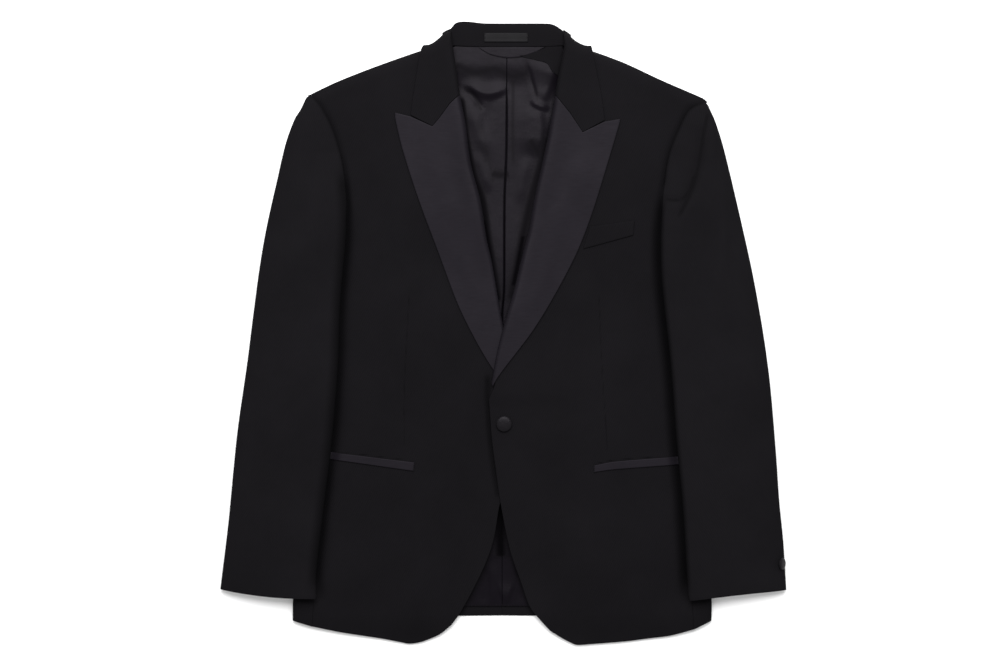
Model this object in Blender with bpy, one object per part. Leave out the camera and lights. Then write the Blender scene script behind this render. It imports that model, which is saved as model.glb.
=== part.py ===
"""Dinner jacket laid flat on its back, front up, built from the pieces a tailor cuts and sews.

Table lengths are millimetres seen from above: x to the picture's right, y towards the collar.
Heights are measured up from the surface that the jacket lies on. The wearer's right is at -x.
"""
import bpy
import numpy as np

MM = 0.001

# Cloth thicknesses and the clearance kept between neighbouring pieces
CLOTH = 2.0
SLEEVE_CLOTH = 2.2
LINING_CLOTH = 1.0
TRIM_CLOTH = 1.2
SEAM_GAP = 0.45
ARMHOLE_GAP = 1.1
LAY_GAP = 0.5
LINING_GAP = 0.75

# Height of the front's upper face: at the hem, over the chest and at the shoulders
HEM_HEIGHT = 10.5
BODY_HEIGHT = 12.5
SHOULDER_HEIGHT = 17.0
HEM_RAMP = (-400.0, -280.0)
SHOULDER_RAMP = (60.0, 220.0)
SHOULDER_RADIUS = 14.0
SHOULDER_FOOT = 2.6
NECK_RISE = 4.0
NECK_SPREAD = 50.0
NECK_Y = 345.0

# The wearer's left front closes over the other one
OVERLAP_END_X = 24.0
OVERLAP_FADE_X = 85.0
OVERLAP_Y = (-330.0, -235.0, 30.0, 150.0)
LAPEL_UNDER_Y = (-98.0, -75.0, 30.0, 150.0)
LAYER = CLOTH + LAY_GAP

# Side fold, lapel roll and collar
SIDE_RADIUS = 12.0
ROLL_RADIUS = 5.0
ROLL_SETBACK = 4.4
ROLL_LIFT = 5.0
ROLL_RISE = 5.0
ROLL_FADE = 22.0
ROLL_SOFT_Y = {-1: (60.0, 160.0), 1: (-60.0, 100.0)}
ROLL_FOOT = 1.6
ROLL_END_GAP = 12.0
ROLL_COLUMNS = (9.0, 5.5, 3.4, 1.8, 0.6, 0.0)
LAPEL_COLUMNS = [0.0, 0.14, 0.28, 0.42, 0.56, 0.7, 0.83, 0.86, 0.89, 0.92, 0.96, 1.0]
COLLAR_COLUMNS = [0.0, 0.2, 0.4, 0.6, 0.82, 0.85, 0.89, 0.92, 0.96, 1.0]
COLLAR_HEIGHT = 10.0
COLLAR_SEAM_HEIGHT = 8.4
COLLAR_FOLD_RADIUS = 6.0
COLLAR_FALL_Y = 352.0
COLLAR_STAND_Y = (368.0, 390.0)
STAND_CLEAR = 1.0
NECK_RAISE_Y = (240.0, 346.0)
NECK_RAISE_X = (86.0, 190.0)
NECK_CENTRE_X = 5.0

# Sleeves: fold radii, crown and the height of the tube
SLEEVE_FOLD_INNER = 20.0
SLEEVE_FOLD_OUTER = 26.0
SLEEVE_FOLD_SHARE = 0.45
SLEEVE_CROWN = 2.0
SLEEVE_FOLD_POWER = 2.5
HIND_SEAM_TURN = 122.0
SEAM_TURN = 8.0
TOP_FLAT = [0.0, 0.25, 0.5, 0.75, 1.0]
UNDER_FLAT = [0.0, 0.14, 0.28, 0.42, 0.56, 0.7, 0.85, 1.0]
SLEEVE_REST = (7.0, 52.0)
ARMHOLE_REST = (14.0, 84.0)
SLEEVE_CLEAR = 0.9
ARMHOLE_TURN_Y = 160.0

# Lining pleat down the centre back
PLEAT_HEIGHT = 2.2
PLEAT_OFFSET = 7.0
PLEAT_WIDTH = 4.0
PLEAT_Y = (-10.0, 40.0, 300.0, 345.0)

# Buttons
FRONT_BUTTON_X = 1.0
FRONT_BUTTON_Y = -115.5
FRONT_BUTTON_RADIUS = 10.0
FRONT_BUTTON_HEIGHT = 4.0
CUFF_BUTTON_RADIUS = 7.5
CUFF_BUTTON_HEIGHT = 3.2
CUFF_BUTTON_ALONG = 0.945
CUFF_BUTTON_TURN = 52.0
BUTTON_SEGMENTS = 24

# Button profile rows: share of the radius, share of the height
BUTTON_PROFILE = [(0.75, 0.0), (0.96, 0.12), (1.0, 0.35), (0.95, 0.6), (0.75, 0.85), (0.4, 0.97)]

COLOURS = {
    "wool": (0.0110, 0.0110, 0.0123),
    "sleeve_wool": (0.0130, 0.0120, 0.0134),
    "satin": (0.0250, 0.0232, 0.0284),
    "lining": (0.0270, 0.0245, 0.0300),
    "covered": (0.0180, 0.0170, 0.0200),
}
ROUGHNESS = {"wool": 0.85, "sleeve_wool": 0.85, "satin": 0.38, "lining": 0.42, "covered": 0.5}

POINT = ("x", "y")

SHOULDER = {
    -1: [(-246, 305), (-209, 323), (-158, 343.5), (-106.5, 361.5), (-88.5, 364), (-64.5, 366)],
    1: [(258, 296.5), (252, 301.5), (200.5, 324.5), (149.5, 348.5), (107, 363), (76, 366)],
}
ARMHOLE = {
    -1: [(-246, 305), (-234.5, 292.5), (-218, 260.5), (-206, 219.5), (-200.5, 177),
         (-199.5, 155.5), (-201.5, 132.5), (-206.5, 109.5), (-215.5, 91.5)],
    1: [(258, 296.5), (238.5, 286.5), (226, 264.5), (212, 228.5), (205, 186),
        (202.5, 160.5), (203, 132.5), (208.5, 109.5), (217, 91.5)],
}
SIDE_SEAM = {
    -1: [(-215.5, 91.5), (-245, -375.5)],
    1: [(217, 91.5), (244, -379.5)],
}
SIDE_FOLD = {
    -1: [(-277, 55.5), (-270.5, 4.5), (-259, -59.5), (-255, -117), (-259, -187.5),
         (-265.5, -264.5), (-269.5, -338.5), (-270, -368)],
    1: [(280, 55.5), (272.5, 4.5), (259.5, -59.5), (254.5, -117), (258, -187.5),
        (263.5, -264.5), (267, -338.5), (267, -368)],
}
ROLL = {
    -1: [(-67.5, 387), (-62, 350), (-55, 304), (-48, 267), (-41.5, 218), (-29, 169.5),
         (-21, 119.5), (-14.5, 91.5), (-3, 25), (6.5, -18.5), (12, -43), (17.5, -70)],
    1: [(76.5, 387), (77.5, 368), (70.5, 331), (66, 304), (61, 277), (56.5, 249), (49, 214.5),
        (40, 174.5), (32.5, 132.5), (24.5, 101.5), (13, 53), (5, 26), (-7, -19.5), (-16.5, -70)],
}
FRONT_EDGE = {
    -1: [(20.5, -91.5), (20.5, -123.5), (16.5, -162), (7.5, -191.5), (-4, -217), (-12, -262),
         (-21, -290), (-39, -328.5), (-56.5, -359.5), (-67, -374)],
    1: [(-18.5, -84), (-17, -103), (-14.5, -136.5), (-9.5, -175), (-4, -214.5), (8.5, -277),
        (22.5, -318), (34, -350), (49.5, -369.5), (60, -381)],
}
FRONT_HEM = {
    -1: [(-245, -375.5), (-209, -383), (-158, -391), (-132, -396), (-120.5, -398),
         (-106.5, -396), (-94, -391.5), (-81, -385.5), (-67, -374)],
    1: [(244, -379.5), (214.5, -387.5), (188, -391), (156, -395), (117.5, -398),
        (94.5, -399.5), (85.5, -396), (74, -390), (60, -381)],
}
BACK_HEM = {
    -1: [(-244.2, -363), (-132, -363), (-1.5, -361.8)],
    1: [(243.1, -364), (124, -363), (-1.5, -361.8)],
}
CENTRE_BACK = [(4.5, 367.5), (4.5, 354), (4, 235), (1.5, 171), (1, 55.5), (-1.5, 20), (-1.5, -361.8)]
NECK_SEAM = [(-64.5, 368.5), (-42.5, 367.5), (4.5, 367), (53.5, 367.5), (76, 368.5)]
LINING_TOP = {
    -1: [(-220, 288), (-202, 306), (-158, 329), (-106, 346), (-75, 356), (-62, 365), (-42.5, 366.5),
         (4.5, 366)],
    1: [(222, 286), (202, 306), (160, 329), (115, 345), (84, 355), (70, 364), (53.5, 366.3),
        (4.5, 366)],
}
LINING_SIDE = {
    -1: [(-220, 288), (-203, 240), (-194, 177), (-194, 130), (-208, 60), (-226, -85), (-238, -350)],
    1: [(222, 286), (207, 240), (197, 177), (196, 130), (210, 60), (228, -85), (238, -350)],
}
LINING_HEM = {
    -1: [(-238, -350), (-120, -350), (-1.5, -350)],
    1: [(238, -350), (120, -350), (-1.5, -350)],
}
LAPEL_EDGE = {
    -1: [(-138, 282), (-137.5, 273), (-128.5, 235), (-108, 171), (-85, 109.5), (-58, 37.5),
         (-34, -11), (-13.5, -45), (2, -63.5), (9, -70)],
    1: [(149, 274), (148, 268), (132.5, 215.5), (112.5, 151.5), (93, 101.5), (63.5, 45.5),
        (36.5, 2), (4.5, -40), (-6, -56), (-10, -66)],
}
LAPEL_TOP = {
    -1: [(-138, 282), (-118, 277), (-90.5, 264.5), (-81, 276), (-68, 293.5), (-55.5, 304.5)],
    1: [(149, 274), (129, 270.5), (101.5, 257), (85.5, 281), (66.5, 304)],
}
COLLAR_OUTER = {
    -1: [(-102, 370), (-105.5, 360.5), (-110, 333.5), (-114.5, 305), (-118, 278.5)],
    1: [(112.5, 369), (116, 347.5), (120, 327), (125, 302.5), (129, 272)],
}
COLLAR_OUTLINE = {
    -1: [(-102, 370), (-94, 371), (-86, 376), (-75, 385.5), (-67.5, 389)],
    1: [(112.5, 369), (103.5, 370), (92, 376), (84, 383), (76.5, 388)],
}
COLLAR_TOP = [(-66.3, 388), (-63, 397), (-58, 399.5), (-42.5, 399.5), (-23.5, 397.5), (60, 397.5),
              (68.5, 396), (72.5, 393), (75.3, 387.5)]
FACING_TOP_Y = 366.7
FACING_LOWER = [(-31, 366), (-17, 357.5), (3.5, 353), (21.5, 354), (30.5, 356.5), (54, 366)]

SLEEVE_OUTER = {
    -1: [(-253, 301.5), (-260, 286), (-266.5, 276), (-278, 245), (-289.5, 196.5), (-305, 126),
         (-319, 32.5), (-328, -38), (-341, -130), (-352, -241.5), (-362.5, -327.5)],
    1: [(263.5, 290), (271.5, 271.5), (281, 241), (291.5, 199), (309.5, 121), (327.5, 32.5),
        (340.5, -54.5), (349, -150), (353.5, -215), (358.5, -265), (362.5, -328.5)],
}
SLEEVE_INNER = {
    -1: [(-246, 305), (-234.5, 292.5), (-218, 260.5), (-206, 219.5), (-200.5, 177), (-199.5, 155.5),
         (-200.5, 119.5), (-207.5, 39), (-210.5, -43), (-218, -135), (-226.5, -205.5),
         (-234.5, -270), (-238.5, -311.5), (-238.5, -338.5)],
    1: [(258, 296.5), (238.5, 286.5), (226, 264.5), (212, 228.5), (205, 186), (202.5, 160.5),
        (200.5, 126), (201, 80), (204.5, 39), (213.5, -43), (220.5, -135), (228.5, -219.5),
        (235.5, -331), (237.5, -341)],
}
CUFF_DIP = {-1: 3.0, 1: -1.0}
CUFF_DIP_SPAN = (0.9, 1.0)

SLEEVE_COLUMNS = ("along", "height", "top_turn", "under_turn")
SLEEVE_SECTIONS = [
    (0.000, 10.0, 40, 140),
    (0.020, 15.0, 40, 140),
    (0.060, 19.0, 40, 140),
    (0.150, 19.0, 42, 138),
    (0.220, 18.0, 60, 138),
    (0.290, 16.5, 120, 140),
    (0.350, 16.0, 146, 146),
    (0.600, 16.0, 146, 146),
    (1.000, 15.0, 146, 146),
]

# Rows shared by every piece at the armhole, as shares of its height from the shoulder down
CAP_ROWS = [0.0, 0.03, 0.09, 0.17, 0.27, 0.38, 0.5, 0.62, 0.74, 0.86, 1.0]
SLEEVE_LOWER_ROWS = [0.06, 0.13, 0.22, 0.33, 0.45, 0.57, 0.69, 0.81, 0.91, 0.96, 1.0]
FRONT_LOWER_Y = [-352, -318, -280, -235, -190, -150, -125, -106, -94, -84, -74, -45, -10, 25, 60]
BACK_LOWER_Y = [-280, -190, -100, 0]

WELT_LOWER = [(102, 108), (166, 125.5)]
WELT_UPPER = [(111, 136.5), (167.5, 144.5)]
JET_UPPER = {-1: [(-253, -148), (-215.5, -152.5), (-113, -165)],
             1: [(262, -155), (216, -158), (141.5, -164), (115.5, -169)]}
JET_LOWER = {-1: [(-253, -157.5), (-214, -162), (-114.5, -176)],
             1: [(262, -165.5), (214.5, -168.5), (141.5, -174), (115.5, -177.5)]}
JET_START = {-1: 0.2, 1: 0.235}
LABEL_X = (-24.5, 31.5)
LABEL_Y = (373.0, 384.5)


def table(columns, rows):
    """Named columns of a table of rows."""
    values = np.array(rows, float)
    return {name: values[:, index] for index, name in enumerate(columns)}


def ramp(value, low, high):
    """Smooth step from 0 at low to 1 at high."""
    t = np.clip((np.asarray(value, float) - low) / (high - low), 0.0, 1.0)
    return t * t * (3.0 - 2.0 * t)


def plateau(value, marks):
    """1 between the two middle marks, fading to 0 at the outer ones."""
    start, full, fall, end = marks
    return ramp(value, start, full) * (1.0 - ramp(value, fall, end))


def dense(rows, straight=False):
    """A fine polyline through the rows, curved unless straight."""
    column = table(POINT, rows)
    points = np.stack([column["x"], column["y"]], axis=1)
    if straight or len(points) < 3:
        return points
    before = np.vstack([2 * points[0] - points[1], points[:-1]])
    after = np.vstack([points[1:], 2 * points[-1] - points[-2]])
    tangents = (after - before) / 2.0
    chords = np.linalg.norm(np.diff(points, axis=0), axis=1)
    spans = []
    for index, chord in enumerate(chords):
        neighbours = [chords[max(index - 1, 0)], chords[min(index + 1, len(chords) - 1)]]
        start_slope = tangents[index] * min(1.0, 2 * chord / (chord + neighbours[0]))
        end_slope = tangents[index + 1] * min(1.0, 2 * chord / (chord + neighbours[1]))
        t = np.linspace(0, 1, 9)[:-1, None]
        spans.append((2 * t**3 - 3 * t**2 + 1) * points[index] + (t**3 - 2 * t**2 + t) * start_slope
                     + (3 * t**2 - 2 * t**3) * points[index + 1] + (t**3 - t**2) * end_slope)
    return np.vstack(spans + [points[-1:]])


def along(path, fractions):
    """Points at the given fractions of a polyline's length."""
    steps = np.linalg.norm(np.diff(path, axis=0), axis=1)
    travelled = np.concatenate([[0.0], np.cumsum(steps)])
    wanted = np.asarray(fractions, float) * travelled[-1]
    return np.stack([np.interp(wanted, travelled, path[:, axis]) for axis in (0, 1)], axis=1)


def at_heights(path, fractions):
    """Points of a polyline that runs up or down, at even fractions of its rise."""
    order = np.argsort(path[:, 1], kind="stable")
    y_values = path[order, 1]
    wanted = path[0, 1] + np.asarray(fractions, float) * (path[-1, 1] - path[0, 1])
    return np.stack([np.interp(wanted, y_values, path[order, 0]), wanted], axis=1)


def moved(path, distance):
    """A polyline moved to its left by a distance."""
    slope = np.gradient(path, axis=0)
    slope /= np.linalg.norm(slope, axis=1, keepdims=True)
    return path + distance * np.stack([-slope[:, 1], slope[:, 0]], axis=1)


def distance_to(path, x, y):
    """Distance in plan from every point to a polyline."""
    start = path[:-1]
    step = path[1:] - start
    flat = np.stack([np.ravel(x), np.ravel(y)], axis=1)
    offset = flat[:, None, :] - start[None]
    share = np.clip((offset * step).sum(2) / (step * step).sum(1), 0.0, 1.0)
    gap = offset - share[..., None] * step[None]
    return np.sqrt((gap * gap).sum(2)).min(1).reshape(np.shape(x))


def armhole_y(side):
    """Heights in plan of the rows shared along an armhole, from the underarm up."""
    top = ARMHOLE[side][0][1]
    low = ARMHOLE[side][-1][1]
    return (top + (low - top) * np.array(CAP_ROWS))[::-1]


def shares_of(y_values, start, end):
    """Row shares, from start to end, at which a side passes the given y values."""
    inside = [y for y in y_values if start < y < end]
    return (np.array([start] + inside + [end]) - start) / (end - start)


def with_vertices(path, fractions):
    """The fractions, with those of the polyline's own corners added."""
    steps = np.linalg.norm(np.diff(path, axis=0), axis=1)
    corners = np.cumsum(steps)[:-1] / steps.sum()
    kept = [f for f in fractions if np.abs(corners - f).min() > 0.015]
    return np.array(sorted(kept + list(corners)))


def with_edge_columns(plan, distances):
    """Replace the last columns by ones at set distances from the last edge."""
    count = len(distances)
    result = plan.copy()
    for row in range(len(plan)):
        line = plan[row][::-1]
        steps = np.linalg.norm(np.diff(line, axis=0), axis=1)
        length = steps.sum()
        room = np.linalg.norm(plan[row, -1] - plan[row, -count - 1])
        scale = min(1.0, 0.75 * room / distances[0])
        result[row, -count:] = along(line, np.array(distances) * scale / length)
    return result


def rounded(distance, radius):
    """Quarter round: 0 at the edge, 1 from one radius inwards."""
    inside = np.clip(1.0 - distance / radius, 0.0, 1.0)
    return np.sqrt(1.0 - inside * inside)


def patch(bottom, top, left, right, u, v):
    """Plan grid between four sides: rows follow v from bottom to top, columns follow u."""
    u = np.asarray(u, float)[None, :, None]
    v = np.asarray(v, float)[:, None, None]
    across = (1 - v) * bottom[None] + v * top[None]
    upward = (1 - u) * left[:, None] + u * right[:, None]
    corners = ((1 - u) * (1 - v) * bottom[0] + u * (1 - v) * bottom[-1]
               + (1 - u) * v * top[0] + u * v * top[-1])
    return across + upward - corners


def lifted(plan, heights):
    """Plan grid with its heights as a third coordinate."""
    return np.concatenate([plan, heights[..., None]], axis=2)


def normals_of(grid):
    """Unit normals of a grid of points."""
    normal = np.cross(np.gradient(grid, axis=1), np.gradient(grid, axis=0))
    return normal / np.maximum(np.linalg.norm(normal, axis=2, keepdims=True), 1e-9)


def material_for(kind, name):
    """Plain shader for one sub-part."""
    shade = bpy.data.materials.new(name)
    shade.use_nodes = True
    surface = shade.node_tree.nodes["Principled BSDF"]
    surface.inputs["Base Color"].default_value = (*COLOURS[kind], 1.0)
    surface.inputs["Roughness"].default_value = ROUGHNESS[kind]
    surface.inputs["Metallic"].default_value = 0.0
    return shade


def solid(name, points, faces, kind):
    """A named mesh object, millimetres in, metres out."""
    mesh = bpy.data.meshes.new(name)
    mesh.from_pydata((np.asarray(points) * MM).tolist(), [], faces)
    mesh.update()
    mesh.polygons.foreach_set("use_smooth", [True] * len(mesh.polygons))
    mesh.materials.append(material_for(kind, name + "_cloth"))
    body = bpy.data.objects.new(name, mesh)
    bpy.context.scene.collection.objects.link(body)
    return body


def shell(name, grid, wall, kind, up_column=None, up=1.0, inner=None):
    """Closed cloth: a grid, the same grid moved in by the wall, and the four cut edges.

    up_column names a column whose outside faces up (up = 1) or down (up = -1). A piece that
    works out its own inside face gives it as inner.
    """
    rows, columns = grid.shape[:2]
    middle = columns // 2 if up_column is None else up_column
    normal = normals_of(grid)
    if normal[:, middle, 2].mean() * up < 0:
        grid = grid[:, ::-1]
        normal = -normal[:, ::-1]
        inner = None if inner is None else inner[:, ::-1]
    if inner is None:
        inner = grid - normal * wall
    points = np.vstack([grid.reshape(-1, 3), inner.reshape(-1, 3)])
    below = rows * columns
    faces = []
    for row in range(rows - 1):
        for column in range(columns - 1):
            a = row * columns + column
            b = a + 1
            c = b + columns
            d = a + columns
            faces.append((a, b, c, d))
            faces.append((below + a, below + d, below + c, below + b))
    rim = [column for column in range(columns)]
    rim += [row * columns + columns - 1 for row in range(1, rows)]
    rim += [(rows - 1) * columns + column for column in range(columns - 2, -1, -1)]
    rim += [row * columns for row in range(rows - 2, 0, -1)]
    for a, b in zip(rim, rim[1:] + rim[:1]):
        faces.append((b, a, below + a, below + b))
    return solid(name, points, faces, kind)


def front_level(x, y, side):
    """Height of a front's upper face before it rounds over the shoulder."""
    level = HEM_HEIGHT + (BODY_HEIGHT - HEM_HEIGHT) * ramp(y, *HEM_RAMP)
    level += (SHOULDER_HEIGHT - BODY_HEIGHT) * ramp(y, *SHOULDER_RAMP)
    neck_x = ROLL[side][1][0]
    level += NECK_RISE * np.exp(-((x - neck_x) ** 2 + (y - NECK_Y) ** 2) / (2 * NECK_SPREAD ** 2))
    if side > 0:
        reach = 1.0 - ramp(x, OVERLAP_END_X, OVERLAP_FADE_X)
        level += LAYER * reach * (plateau(y, OVERLAP_Y) + plateau(y, LAPEL_UNDER_Y))
    return level


def front_height(x, y, side):
    """Height of a front's upper face."""
    rise = rounded(distance_to(dense(SHOULDER[side]), x, y), SHOULDER_RADIUS)
    foot = SHOULDER_FOOT + back_floor(x, y)
    return foot + (front_level(x, y, side) - foot) * rise


def roll_height(x, y, side, under):
    """Upper face of what is turned back at the roll: soft next to the fold, flat further out."""
    away = distance_to(dense(ROLL[side]), x, y)
    swell = (1.0 - np.exp(-away / ROLL_RISE)) * np.exp(-away / ROLL_FADE)
    bulge = ROLL_LIFT * ramp(y, *ROLL_SOFT_Y[side]) * swell
    low = under - ROLL_FOOT
    high = under + LAYER + bulge
    return low + (high - low) * rounded(away, ROLL_RADIUS)


def build_front(side, name):
    """One front, from the shoulder and armhole to the roll, front edge and hem."""
    u = np.array([0, 0.1, 0.22, 0.35, 0.48, 0.6, 0.72, 0.83, 0.92, 1.0])
    side_path = np.vstack([dense(SIDE_SEAM[side])[::-1], dense(ARMHOLE[side])[::-1][1:]])
    v = shares_of(FRONT_LOWER_Y + list(armhole_y(side)), side_path[0][1], side_path[-1][1])
    side_path = side_path - [side * ARMHOLE_GAP, 0]
    roll = moved(dense(ROLL[side]), side * ROLL_SETBACK)
    roll = roll[roll[:, 1] < SHOULDER[side][-1][1]]
    roll = roll[roll[:, 1] > FRONT_EDGE[side][0][1] + ROLL_END_GAP]
    roll = np.vstack([[roll[0][0], SHOULDER[side][-1][1]], roll])
    inner_path = np.vstack([roll, dense(FRONT_EDGE[side])])[::-1]
    bottom = along(dense(FRONT_HEM[side]), u)
    top = along(dense(SHOULDER[side][:-1] + [tuple(inner_path[-1])]), u)
    plan = patch(bottom, top, at_heights(side_path, v), at_heights(inner_path, v), u, v)
    heights = front_height(plan[..., 0], plan[..., 1], side)
    return shell(name, lifted(plan, heights), CLOTH, "wool")


def back_floor(x, y):
    """Height of the back's underside: flat, raised only where the collar passes beneath."""
    near = 1.0 - ramp(np.abs(x - NECK_CENTRE_X), *NECK_RAISE_X)
    return LAYER * near * ramp(y, *NECK_RAISE_Y)


def build_back(side, name):
    """Half of the back, its underside on the surface."""
    u = np.array([0, 0.25, 0.5, 0.62, 0.72, 0.82, 0.91, 1.0])
    side_path = np.vstack([dense(SIDE_SEAM[side])[::-1], dense(ARMHOLE[side])[::-1][1:]])
    side_path[0] = BACK_HEM[side][0]
    v = shares_of(BACK_LOWER_Y + list(armhole_y(side)), side_path[0][1], side_path[-1][1])
    side_path = side_path - [side * ARMHOLE_GAP, 0]
    centre = dense(CENTRE_BACK)[::-1] + [side * SEAM_GAP / 2, 0]
    neck = dense(NECK_SEAM) - [0, SEAM_GAP + STAND_CLEAR]
    half = neck[neck[:, 0] * side > side * centre[-1][0]]
    half = half if side > 0 else half[::-1]
    middle = centre[-1:] - [0, SEAM_GAP + STAND_CLEAR]
    top_path = np.vstack([dense(SHOULDER[side])[:-1], half[::-1][1:], middle])
    bottom = along(dense(BACK_HEM[side]), u)
    top = along(top_path, u)
    plan = patch(bottom, top, at_heights(side_path, v), at_heights(centre, v), u, v)
    return shell(name, lifted(plan, back_floor(plan[..., 0], plan[..., 1])), CLOTH, "wool", up=-1.0)


def lining_height(x, y):
    """Upper face of the lining, with the soft pleat either side of the centre seam."""
    centre = np.interp(y, dense(CENTRE_BACK)[::-1][:, 1], dense(CENTRE_BACK)[::-1][:, 0])
    fold = np.exp(-((np.abs(x - centre) - PLEAT_OFFSET) ** 2) / (2 * PLEAT_WIDTH ** 2))
    base = back_floor(x, y) + CLOTH + LINING_GAP + LINING_CLOTH
    return base + PLEAT_HEIGHT * fold * plateau(y, PLEAT_Y)


def build_lining(side, name):
    """Half of the back lining, seen in the neck opening and below the closure."""
    v = np.array([0, 0.15, 0.3, 0.45, 0.56, 0.65, 0.74, 0.82, 0.9, 0.96, 1.0])
    u = np.array([0, 0.3, 0.55, 0.75, 0.88, 0.935, 0.965, 0.985, 1.0])
    centre = dense(CENTRE_BACK)[::-1] + [side * SEAM_GAP / 2, 0]
    centre[0, 1] = LINING_HEM[side][0][1]
    centre[-1, 1] = LINING_TOP[side][-1][1]
    bottom = along(dense(LINING_HEM[side]), u)
    top = along(dense(LINING_TOP[side]), u)
    left = at_heights(dense(LINING_SIDE[side])[::-1], v)
    plan = patch(bottom, top, left, at_heights(centre, v), u, v)
    heights = lining_height(plan[..., 0], plan[..., 1])
    return shell(name, lifted(plan, heights), LINING_CLOTH, "lining")


def build_side(side, name):
    """Side panel: from the front's seam over the side fold to the back's seam."""
    v = np.array([0, 0.06, 0.16, 0.28, 0.4, 0.52, 0.64, 0.76, 0.88, 1.0])
    seam = at_heights(dense(SIDE_SEAM[side]), v) + [side * SEAM_GAP / 2, 0]
    fold = at_heights(dense(SIDE_FOLD[side]), v)
    turns = np.radians([0, 30, 60, 90, 120, 150, 180])
    rows = []
    for seam_point, fold_point in zip(seam, fold):
        inward = seam_point - fold_point
        length = np.linalg.norm(inward)
        inward = inward / length
        top = front_level(seam_point[0], seam_point[1], side)
        half = top / 2.0
        row = [(*seam_point, top), (*(fold_point + inward * (length + SIDE_RADIUS) / 2), top)]
        for turn in turns:
            away = SIDE_RADIUS * (1.0 - np.sin(turn))
            row.append((*(fold_point + inward * away), half + half * np.cos(turn)))
        row += [(*(fold_point + inward * (length + SIDE_RADIUS) / 2), 0.0), (*seam_point, 0.0)]
        rows.append(row)
    return shell(name, np.array(rows), CLOTH, "wool", up_column=0)


def build_lapel(side, name):
    """Satin peak lapel, turned back at the roll."""
    v = np.linspace(0.0, 1.0, 15)
    edge = at_heights(dense(LAPEL_EDGE[side])[::-1], v)
    roll = dense(ROLL[side])
    top_path = moved(dense(LAPEL_TOP[side], straight=True), side * SEAM_GAP)
    low = LAPEL_EDGE[side][-1][1]
    roll_part = roll[(roll[:, 1] >= low) & (roll[:, 1] <= LAPEL_TOP[side][-1][1] + 1)]
    roll_side = at_heights(roll_part[::-1], v)
    edge[-1] = top_path[0]
    roll_side[-1] = top_path[-1]
    u = with_vertices(top_path, LAPEL_COLUMNS)
    bottom = edge[0] + (roll_side[0] - edge[0]) * u[:, None]
    plan = with_edge_columns(patch(bottom, along(top_path, u), edge, roll_side, u, v), ROLL_COLUMNS)
    x, y = plan[..., 0], plan[..., 1]
    heights = roll_height(x, y, side, front_level(x, y, side))
    return shell(name, lifted(plan, heights), CLOTH, "satin")


def build_collar_side(side, name):
    """Collar fall beside the neck, from the outline over the shoulder to the gorge seam."""
    v = np.array([0, 0.1, 0.25, 0.45, 0.65, 0.8, 0.9, 0.96, 0.99, 1.0])
    outer = at_heights(dense(COLLAR_OUTER[side])[::-1], v)
    gorge = np.array([(COLLAR_OUTER[side][-1])] + [p for p in LAPEL_TOP[side][2:]], float)
    gorge = moved(gorge, -side * SEAM_GAP / 2)
    u = with_vertices(gorge, COLLAR_COLUMNS)
    roll = dense(ROLL[side])
    roll = np.vstack([COLLAR_OUTLINE[side][-1], roll[1:][roll[1:, 1] > gorge[-1][1]], gorge[-1:]])
    roll_side = at_heights(roll[::-1], v)
    outer[0] = gorge[0]
    plan = patch(along(gorge, u), along(dense(COLLAR_OUTLINE[side]), u), outer, roll_side, u, v)
    plan = with_edge_columns(plan, ROLL_COLUMNS)
    x, y = plan[..., 0], plan[..., 1]
    level = front_level(x, y, side)
    heights = roll_height(x, y, side, level)
    over = rounded(distance_to(dense(COLLAR_OUTLINE[side]), x, y), SHOULDER_RADIUS + LAYER)
    foot = SHOULDER_FOOT + back_floor(x, y) + CLOTH
    return shell(name, lifted(plan, foot + (heights - foot) * over), CLOTH, "wool")


def stand_height(x, y):
    """Upper face of the collar stand behind the neck."""
    return COLLAR_SEAM_HEIGHT + (COLLAR_HEIGHT - COLLAR_SEAM_HEIGHT) * ramp(y, *COLLAR_STAND_Y)


def build_collar_back(name):
    """Collar behind the neck: stand in view, fold at the top, fall beneath the back."""
    u = np.array([0, 0.04, 0.09, 0.15, 0.3, 0.5, 0.7, 0.85, 0.91, 0.96, 1.0])
    fold = along(dense(COLLAR_TOP), u)
    seam = along(dense(NECK_SEAM), u)
    turns = np.radians([0, 30, 60, 90, 120, 150, 180])
    rows = []
    for fold_point, seam_point in zip(fold, seam):
        radius = min(COLLAR_FOLD_RADIUS, (fold_point[1] - seam_point[1]) / 2.5)
        inward = (seam_point - fold_point) / np.linalg.norm(seam_point - fold_point)
        middle = (fold_point + inward * radius + seam_point) / 2.0
        row = [(*seam_point, stand_height(*seam_point)), (*middle, stand_height(*middle))]
        start = fold_point + inward * radius
        half = stand_height(*start) / 2.0
        for turn in turns:
            place = fold_point + inward * radius * (1.0 - np.sin(turn))
            row.append((*place, half + half * np.cos(turn)))
        row += [(seam_point[0], seam_point[1], 0.0), (seam_point[0], COLLAR_FALL_Y, 0.0)]
        rows.append(row)
    return shell(name, np.array(rows), CLOTH, "wool", up_column=0)


def sleeve_rest(x, y, side):
    """Height of the sleeve's underside: on the body inside, on the surface outside."""
    reach = np.abs(x)
    armhole = dense(ARMHOLE[side])[::-1]
    low = armhole[armhole[:, 1] < ARMHOLE_TURN_Y]
    xs = np.concatenate([np.abs(low[::-1, 0]), [abs(SIDE_FOLD[side][0][0])]])
    ys = np.concatenate([low[::-1, 1], [SIDE_FOLD[side][0][1]]])
    order = np.argsort(xs)
    hole_y = np.interp(reach, xs[order], ys[order])
    fold = dense(SIDE_FOLD[side])[::-1]
    side_x = np.interp(y, fold[:, 1], np.abs(fold[:, 0]))
    beside = 1.0 - ramp(reach, side_x + SLEEVE_REST[0], side_x + SLEEVE_REST[1])
    below = 1.0 - ramp(y, hole_y + ARMHOLE_REST[0], hole_y + ARMHOLE_REST[1])
    return (front_level(x, y, side) + SLEEVE_CLEAR) * beside * below


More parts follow.
